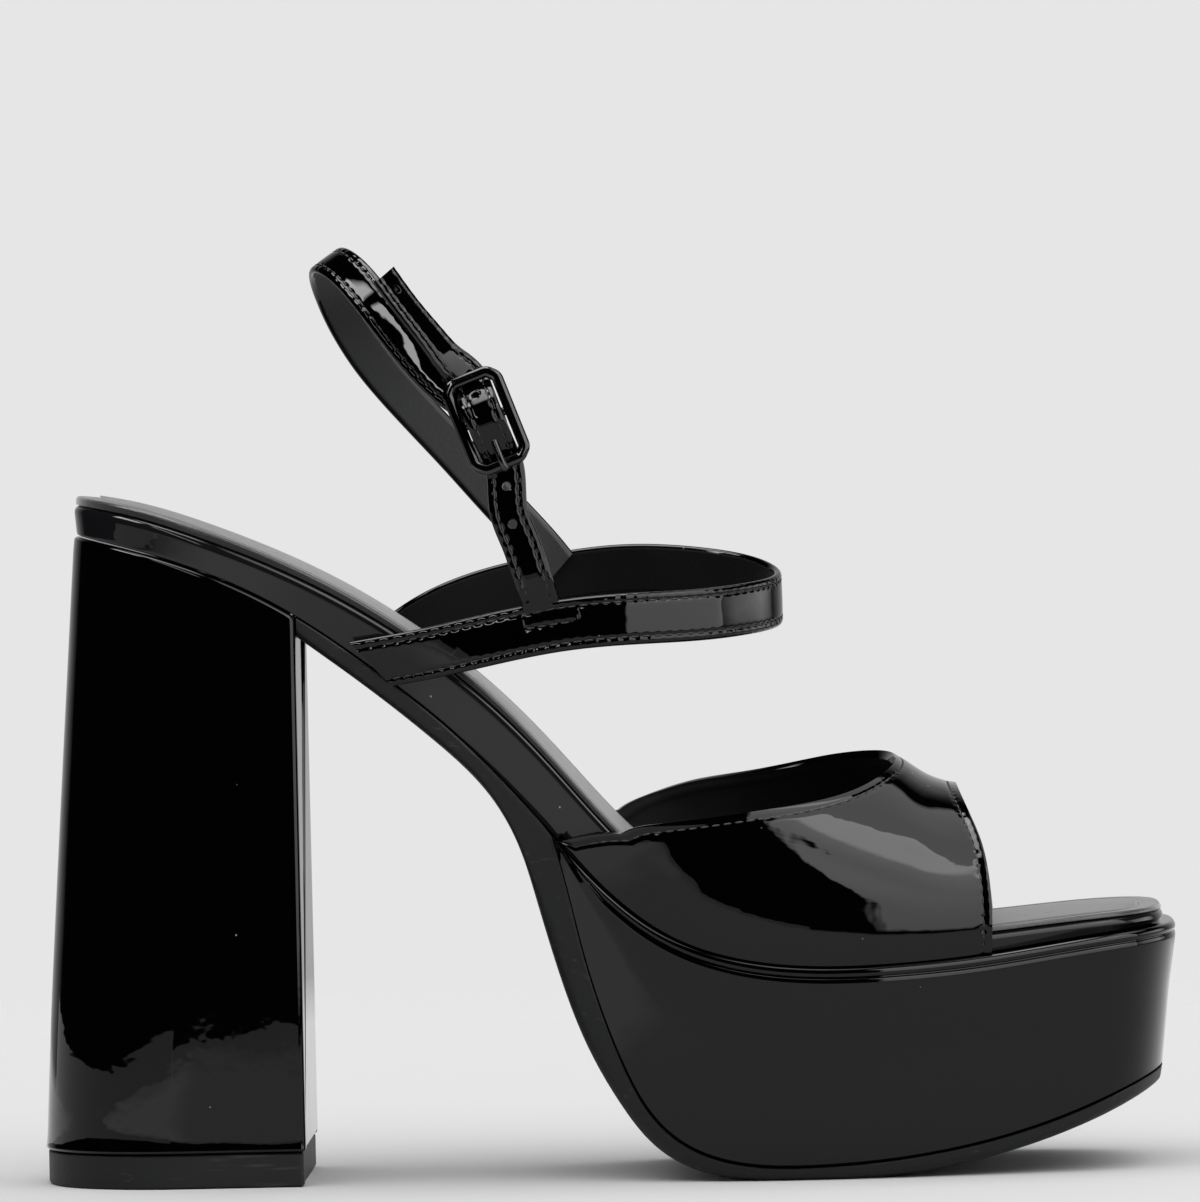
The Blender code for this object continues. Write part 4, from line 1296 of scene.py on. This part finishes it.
def heel_line(up):
    """A line round the heel at a share of its height, from breast to breast, with no height yet."""
    back_flare = (1 - HEEL_BACK_CURVE) * (1 - up) + HEEL_BACK_CURVE * heel_flare(up)[0]
    back = HEEL_TOP_BACK_X + (HEEL_FOOT_BACK_X - HEEL_TOP_BACK_X) * back_flare
    turn_x = back + HEEL_ROUND
    start_x = HEEL_BREAST_X - HEEL_BREAST_ROUND
    straight = np.linspace(start_x, turn_x, STRAIGHT_STEPS + 1)[:-1]
    x = np.concatenate((straight, turn_x - HEEL_ROUND * heel_share))
    width_share = np.concatenate((np.ones(STRAIGHT_STEPS), heel_width))
    tops = plan_widths(x)
    corner = np.linspace(0.0, math.pi / 2, ROUND_STEPS + 1)[:-1]
    sides = []
    for foot, top in ((HEEL_FOOT_OUTER, tops[0]), (HEEL_FOOT_INNER, tops[1])):
        width = (top + (foot - top) * heel_flare(up)[0]) * width_share
        corner_x = start_x + HEEL_BREAST_ROUND * np.cos(corner)
        corner_y = width[0] - HEEL_BREAST_ROUND + HEEL_BREAST_ROUND * np.sin(corner)
        turned = (HEEL_BREAST_X, width[0] - HEEL_BREAST_ROUND - HEEL_BREAST_TURN)
        breast_edge = np.stack((corner_x, corner_y), axis=1)
        sides.append(np.vstack((turned, breast_edge, np.stack((x, width), axis=1))))
    outer, inner = sides
    outer = outer * (1, -1)
    flat = np.vstack((inner, outer[-2::-1]))
    return np.column_stack((flat, np.zeros(len(flat))))


heel_top = heel_line(1.0)
heel_top_z = seat_line(heel_top[:, 0])[0] - HALF_GAP


def heel_level(up):
    """A line round the heel at a share of its height, at its height."""
    line = heel_line(up)
    line[:, 2] = HEEL_FOOT_Z + (heel_top_z - HEEL_FOOT_Z) * up
    return line


heel_levels = rounded_foot(heel_level(0.0), HEEL_FOOT_ROUND)
heel_levels += [heel_level(up) for up in (*HEEL_FOOT_LEVELS, *HEEL_WALL_LEVELS)]
heel_levels += rounded_brow(heel_level(1.0), HEEL_BROW_ROUND, seat_line)
add_piece("heel_cover", banded_body(heel_levels), (cover_patent,), ("heel",))


# Top lift
# The wear piece under the heel: a slab of hard black rubber, cut a little smaller than the heel's foot
# and nailed on, with a small chamfer at the floor.

LIFT_HEIGHT = 6.7
LIFT_INSET = 0.5
LIFT_CHAMFER = 0.5
LIFT_TOP_CHAMFER = 0.25

# the grit of the mould is finer than this, and drawn coarse so that it shows
RUBBER_GRIT = 0.5
RUBBER_RELIEF = 0.05
# width of a scuff, its width as a share of its length, and its slant
SCUFF_WIDTH = 1.0
SCUFF_SHARE = 0.08
SCUFF_SLANT = 0.5


def rubber_finish(name):
    """Moulded rubber: carbon black, satin from its mould, with light scuffs."""
    finish, tree, shader, place = start_finish(name, {"Specular IOR Level": 0.3})
    grit = add_node(
        tree, "ShaderNodeTexNoise", {"Vector": place, "Scale": 1 / (RUBBER_GRIT * MM), "Detail": 2.0}
    )
    stretch = add_node(
        tree,
        "ShaderNodeMapping",
        {"Vector": place, "Rotation": (0.0, SCUFF_SLANT, 0.0), "Scale": (SCUFF_SHARE, 1.0, 1.0)},
    )
    scuffs = add_node(
        tree,
        "ShaderNodeTexNoise",
        {"Vector": stretch.outputs["Vector"], "Scale": 1 / (SCUFF_WIDTH * MM), "Detail": 3.0},
    )
    scuffed = add_node(
        tree, "ShaderNodeMapRange", {"Value": scuffs.outputs["Fac"], "From Min": 0.62, "From Max": 0.78}
    )
    tone = add_node(
        tree,
        "ShaderNodeMix",
        {"Factor": scuffed.outputs["Result"], "A": linear("121314"), "B": linear("303133")},
        data_type="RGBA",
    )
    gloss = add_node(tree, "ShaderNodeMapRange", {"Value": grit.outputs["Fac"], "To Min": 0.4, "To Max": 0.6})
    skin = add_node(
        tree,
        "ShaderNodeBump",
        {"Height": grit.outputs["Fac"], "Strength": 0.4, "Distance": RUBBER_RELIEF * MM},
    )
    fill_sockets(
        tree,
        shader,
        {
            "Base Color": tone.outputs["Result"],
            "Roughness": gloss.outputs["Result"],
            "Normal": skin.outputs["Normal"],
        },
    )
    return finish


# Lift rubber: hard and smooth, satin, with the scuffs of a shop floor.
lift_rubber = rubber_finish("black_lift_rubber")

lift_line = heel_line(0.0)
lift_levels = []
for up, into in (
    (0.0, LIFT_INSET + LIFT_CHAMFER),
    (LIFT_CHAMFER, LIFT_INSET),
    (LIFT_HEIGHT / 2, LIFT_INSET),
    (LIFT_HEIGHT - LIFT_TOP_CHAMFER, LIFT_INSET),
    (LIFT_HEIGHT, LIFT_INSET + LIFT_TOP_CHAMFER),
):
    lift_levels.append(inset(raised(lift_line, up), into))
add_piece("top_lift_rubber", banded_body(lift_levels), (lift_rubber,), ("top_lift",))


# Outsole
# A moulded rubber sole under the platform that runs up the waist to the heel breast, with fine grooves
# across its tread under the ball and the toes.

# x, z of the underside from the heel breast to the flat under the ball
SOLE_REAR = (
    (-59.7, 108.6),
    (-46.0, 98.3),
    (-33.0, 87.6),
    (-22.5, 77.0),
    (-16.8, 66.9),
    (-13.6, 56.8),
    (-9.5, 42.4),
    (-4.0, 27.2),
    (2.6, 15.2),
    (10.4, 6.0),
    (20.0, 1.4),
    (30.0, 0.0),
)
FLAT_END_X = 45.0
TOE_SPRING_RADIUS = 131.0
SOLE_TOE_X = 109.9
WAIST_START_X = -59.7
WAIST_END_BACK_X = -11.0
# share of the underside's length at which the waist ends
WAIST_END_SOLE = 0.345
WAIST_INSET = 1.0
WAIST_INSET_RUN = 20.0
WAIST_STEPS = 50
SOLE_REAR_COUNT = 400
SOLE_SPRING_COUNT = 120
SOLE_FORE_COUNT = 900
SOLE_UNDER = 10
# share from underside to joint, out from the footbed's edge
OUTSOLE_EDGE = (
    (0.0, -2.4),
    (0.05, -1.7),
    (0.14, -0.95),
    (0.3, -0.3),
    (0.5, 0.0),
    (0.75, 0.3),
    (0.93, 0.5),
    (1.0, 0.3),
)

sole_rear = curve_through(SOLE_REAR, SOLE_REAR_COUNT)[1]
spring_end = math.asin((SOLE_TOE_X - FLAT_END_X) / TOE_SPRING_RADIUS)
spring = np.linspace(0.0, spring_end, SOLE_SPRING_COUNT)
sole_toe = np.stack(
    (FLAT_END_X + TOE_SPRING_RADIUS * np.sin(spring), TOE_SPRING_RADIUS * (1 - np.cos(spring))), axis=1
)
underside = np.vstack((sole_rear, sole_toe))
under_share = run_lengths(underside)
under_share /= under_share[-1]
waist = np.linspace(0.0, 1.0, WAIST_STEPS + 1)[:-1]
waist_low = places_at(under_share, underside, WAIST_END_SOLE * waist)
waist_x = WAIST_START_X + (WAIST_END_BACK_X - WAIST_START_X) * waist
waist_high = np.stack((waist_x, seat_line(waist_x)[0] - HALF_GAP), axis=1)
fore_low = places_at(under_share, underside, np.linspace(WAIST_END_SOLE, 1.0, SOLE_FORE_COUNT))
sole_low = np.vstack((waist_low, paired_line(fore_low, SOLE_TOE_X)))
sole_high = np.vstack((waist_high, paired_line(joint_points, PLATFORM_LOW_TOE_X) - (0.0, HALF_GAP)))
sole_width = np.concatenate((np.ones(WAIST_STEPS), fore_width))
sole_levels = []
for share, outset in OUTSOLE_EDGE:
    x, z = (sole_low + (sole_high - sole_low) * share).T
    waist_in = WAIST_INSET * np.clip((WAIST_END_BACK_X - x) / WAIST_INSET_RUN, 0.0, 1.0)
    sole_levels.append(rim_line(x, sole_width, z, outset - waist_in))
sole = banded_body(sole_levels, under=SOLE_UNDER)

# Grooves across the tread: pitch, width and depth, where they start and how many, the plain edge beside them
# as a share of the footbed's width, and how far down a face of the tread looks
TREAD_PITCH = 2.4
TREAD_GROOVE = 1.0
TREAD_DEPTH = 0.5
TREAD_START_X = 14.0
TREAD_COUNT = 36
TREAD_EDGE = 0.1
TREAD_DOWN = 0.8


def under_foot(face):
    """Where a face of the sole lies: its x from the first groove, and whether it is in the tread."""
    x, y, _ = (np.array(face.calc_center_median()) - DATUM) / MM
    outer, inner = plan_widths(x)
    share = (y + outer) / (outer + inner)
    in_length = 0.0 < x - TREAD_START_X < TREAD_PITCH * TREAD_COUNT
    in_tread = face.normal.z < -TREAD_DOWN and in_length and TREAD_EDGE < share < 1 - TREAD_EDGE
    return x - TREAD_START_X, in_tread


def in_groove(face):
    """Whether a face of the cut tread lies in one of the grooves."""
    along, in_tread = under_foot(face)
    return in_tread and along % TREAD_PITCH < TREAD_GROOVE


tread = [face for face in sole.faces if under_foot(face)[1]]
groove_starts = TREAD_START_X + TREAD_PITCH * np.arange(TREAD_COUNT)
for cut_x in np.stack((groove_starts, groove_starts + TREAD_GROOVE), axis=1).ravel():
    edges = dict.fromkeys(edge for face in tread for edge in face.edges)
    verts = dict.fromkeys(vert for face in tread for vert in face.verts)
    cut = bmesh.ops.bisect_plane(
        sole,
        geom=[*verts, *edges, *tread],
        dist=MERGE * MM,
        plane_co=Vector((cut_x * MM, 0.0, 0.0)) + Vector(DATUM),
        plane_no=(1.0, 0.0, 0.0),
    )
    tread = [item for item in cut["geom"] if isinstance(item, bmesh.types.BMFace)]
sole.normal_update()
grooves = [face for face in tread if in_groove(face)]
raised_floor = bmesh.ops.extrude_face_region(sole, geom=grooves)["geom"]
bmesh.ops.delete(sole, geom=grooves, context="FACES")
groove_verts = [item for item in raised_floor if isinstance(item, bmesh.types.BMVert)]
bmesh.ops.translate(sole, vec=(0.0, 0.0, TREAD_DEPTH * MM), verts=groove_verts)

# Sole rubber: the same satin black, with the grooves of the tread across its underside.
sole_rubber = rubber_finish("black_sole_rubber")
add_piece("outsole_rubber", sole, (sole_rubber,), ("outsole",))


# Stage
# A pale sheet of floor, a low white sheet far behind, and a dark room, which the patent mirrors as black.
# Panels of light stand to the front right, to the right, overhead and to the upper left, with a strip to
# the front left. Low white cards lie round the left and the front.

PAPER = "e6e6e6"
ROOM = "0d0d0d"
FLOOR_RADIUS = 0.8
# shares of the floor's radius where it is gone and where it starts to fade
FLOOR_FADE = (0.92, 0.65)
FLOOR_SEGMENTS = 96
# the sheet behind: where it starts and is full towards the back, where it is gone and full in height
SHEET_BACK = (0.7, 0.98)
SHEET_TOP = (0.9, 0.5)
SHEET_GLOW = 0.6
floor_mesh = bmesh.new()
bmesh.ops.create_circle(floor_mesh, cap_ends=True, segments=FLOOR_SEGMENTS, radius=FLOOR_RADIUS)
floor_data = bpy.data.meshes.new("floor")
floor_mesh.to_mesh(floor_data)
floor_mesh.free()
floor = add_object("floor", floor_data)

# Seamless paper: matt pale grey, fading into the backdrop at its rim
paper, tree, shader, place = start_finish(
    "pale_paper", {"Base Color": linear(PAPER), "Roughness": 0.9, "Specular IOR Level": 0.0}
)
floor_data.materials.append(paper)
far = add_node(tree, "ShaderNodeVectorMath", {0: place}, operation="LENGTH")
fade = add_node(
    tree,
    "ShaderNodeMapRange",
    {
        "Value": far.outputs["Value"],
        "From Min": FLOOR_RADIUS * FLOOR_FADE[0],
        "From Max": FLOOR_RADIUS * FLOOR_FADE[1],
    },
)
fill_sockets(tree, shader, {"Alpha": fade.outputs["Result"]})

world = bpy.data.worlds.new("studio")
bpy.context.scene.world = world
world.use_nodes = True
tree = world.node_tree
backdrop = tree.nodes["Background"]
look = add_node(tree, "ShaderNodeTexCoord", {})
ways = add_node(tree, "ShaderNodeSeparateXYZ", {"Vector": look.outputs["Generated"]})
sheet_part = SHEET_GLOW
for way, (start, full) in (("Y", SHEET_BACK), ("Z", SHEET_TOP)):
    there = add_node(
        tree, "ShaderNodeMapRange", {"Value": ways.outputs[way], "From Min": start, "From Max": full}
    )
    sheet_part = add_node(
        tree, "ShaderNodeMath", {0: there.outputs["Result"], 1: sheet_part}, operation="MULTIPLY"
    ).outputs["Value"]
seen = add_node(tree, "ShaderNodeLightPath", {})
lit = add_node(
    tree, "ShaderNodeMath", {0: sheet_part, 1: seen.outputs["Is Camera Ray"]}, operation="MAXIMUM"
)
sheet = add_node(
    tree,
    "ShaderNodeMix",
    {"Factor": lit.outputs["Value"], "A": linear(ROOM), "B": linear(PAPER)},
    data_type="RGBA",
)
fill_sockets(tree, backdrop, {"Color": sheet.outputs["Result"]})


def softbox(name, middle, aim, wide, high, glow_low, glow_high, soft, roll):
    """A panel of light that faces a point and shows in glossy surfaces, soft at its edges."""
    data = bpy.data.lights.new(name, "AREA")
    data.shape = "RECTANGLE"
    data.size, data.size_y = wide, high
    data.energy = math.pi * wide * high
    light = add_object(name, data)
    light.location = middle
    facing = (Vector(aim) - Vector(middle)).to_track_quat("-Z", "Y")
    rolled = Matrix.Rotation(math.radians(roll), 3, "Z").to_quaternion()
    light.rotation_euler = (facing @ rolled).to_euler()
    light.visible_diffuse = False
    data.use_nodes = True
    tree = data.node_tree
    spot = add_node(tree, "ShaderNodeNewGeometry", {}).outputs["Parametric"]
    from_middle = add_node(tree, "ShaderNodeVectorMath", {0: spot, 1: (0.5, 0.5, 0.0)}, operation="SUBTRACT")
    sides = add_node(tree, "ShaderNodeSeparateXYZ", {"Vector": from_middle.outputs["Vector"]}).outputs
    glowing = add_node(
        tree,
        "ShaderNodeMapRange",
        {"Value": sides["Y"], "From Min": -0.5, "From Max": 0.5, "To Min": glow_low, "To Max": glow_high},
    ).outputs["Result"]
    for side in ("X", "Y"):
        off = add_node(tree, "ShaderNodeMath", {0: sides[side]}, operation="ABSOLUTE").outputs["Value"]
        edge = add_node(tree, "ShaderNodeMapRange", {"Value": off, "From Min": 0.5, "From Max": 0.5 - soft})
        glowing = add_node(
            tree, "ShaderNodeMath", {0: glowing, 1: edge.outputs["Result"]}, operation="MULTIPLY"
        ).outputs["Value"]
    fill_sockets(tree, tree.nodes["Emission"], {"Strength": glowing})


# name, middle, point faced, width, height, glow at the low and the high edge, soft share of the edges, roll
PANELS = (
    ("front_right_panel", (0.735, -0.70, 0.765), (0.0, 0.0, 0.765), 1.22, 1.53, 2.3, 4.2, 0.02, 0.0),
    ("roof_panel", (0.75, 0.0, 1.55), (0.75, 0.0, 0.0), 0.9, 2.4, 2.9, 1.2, 0.08, 0.0),
    ("right_panel", (1.12, 0.28, 0.28), (0.0, 0.0, 0.28), 1.45, 0.6, 2.2, 2.2, 0.3, 0.0),
    ("overhead_panel", (-0.2, 0.0, 1.3), (-0.2, 0.0, 0.0), 0.8, 1.3, 7.0, 7.0, 0.15, 0.0),
    ("upper_left_panel", (-0.80, -0.25, 0.95), (0.0, 0.0, 0.1), 0.6, 0.4, 12.0, 12.0, 0.15, 0.0),
    ("strip_panel", (-0.473, -0.957, 0.703), (-0.04, -0.03, 0.17), 0.85, 0.08, 12.0, 12.0, 0.1, -47.0),
    ("left_card", (-0.84, 0.176, -0.010), (-0.1, 0.176, -0.010), 1.36, 0.062, 0.55, 0.55, 0.008, 0.0),
    ("front_left_card", (-0.575, -0.705, -0.010), (-0.1, 0.0, -0.010), 0.70, 0.062, 0.55, 0.55, 0.012, 0.0),
    ("near_card", (-0.1, -0.85, -0.017), (-0.1, 0.0, -0.017), 0.37, 0.048, 0.55, 0.55, 0.02, 0.0),
    ("floor_card", (-0.352, -0.40, 0.002), (-0.352, -0.40, 1.0), 0.5, 0.7, 0.35, 0.35, 0.1, 0.0),
)
for panel in PANELS:
    softbox(*panel)

# Two wide lights that only matt surfaces and the paper take: a key over the front, and a fill from all round,
# which keeps the shadows under the sole soft
for name, energy, spread, course in (
    ("key", 1.7, 90, (-0.15, 0.3, -1.0)),
    ("fill", 1.5, 170, (0.0, 0.0, -1.0)),
):
    wide_data = bpy.data.lights.new(name, "SUN")
    wide_data.energy = energy
    wide_data.angle = math.radians(spread)
    wide_light = add_object(name, wide_data)
    wide_light.rotation_euler = Vector(course).to_track_quat("-Z", "Y").to_euler()
    wide_light.visible_glossy = False

# Camera at the photo's angle: a long lens a little over the shoe and rolled a little, aimed at the middle
CAMERA_DISTANCE = 2.2
CAMERA_LENS = 330.0
CAMERA_ROUND = math.radians(1.0)
CAMERA_DOWN = math.radians(1.25)
CAMERA_ROLL = math.radians(1.25)
CAMERA_AIM = Vector((0.0, 0.0, 114.0 * MM)) + Vector(DATUM)
view = Vector(
    (
        -math.sin(CAMERA_ROUND) * math.cos(CAMERA_DOWN),
        math.cos(CAMERA_ROUND) * math.cos(CAMERA_DOWN),
        -math.sin(CAMERA_DOWN),
    )
)
camera_data = bpy.data.cameras.new("camera")
camera_data.lens = CAMERA_LENS
camera_data.sensor_width = 36.0
camera_data.sensor_fit = "HORIZONTAL"
camera = add_object("camera", camera_data)
camera.rotation_mode = "QUATERNION"
camera.location = CAMERA_AIM - view * CAMERA_DISTANCE
camera_roll = Matrix.Rotation(-CAMERA_ROLL, 3, "Z").to_quaternion()
camera.rotation_quaternion = view.to_track_quat("-Z", "Y") @ camera_roll
bpy.context.scene.camera = camera
bpy.context.scene.view_settings.view_transform = "Standard"
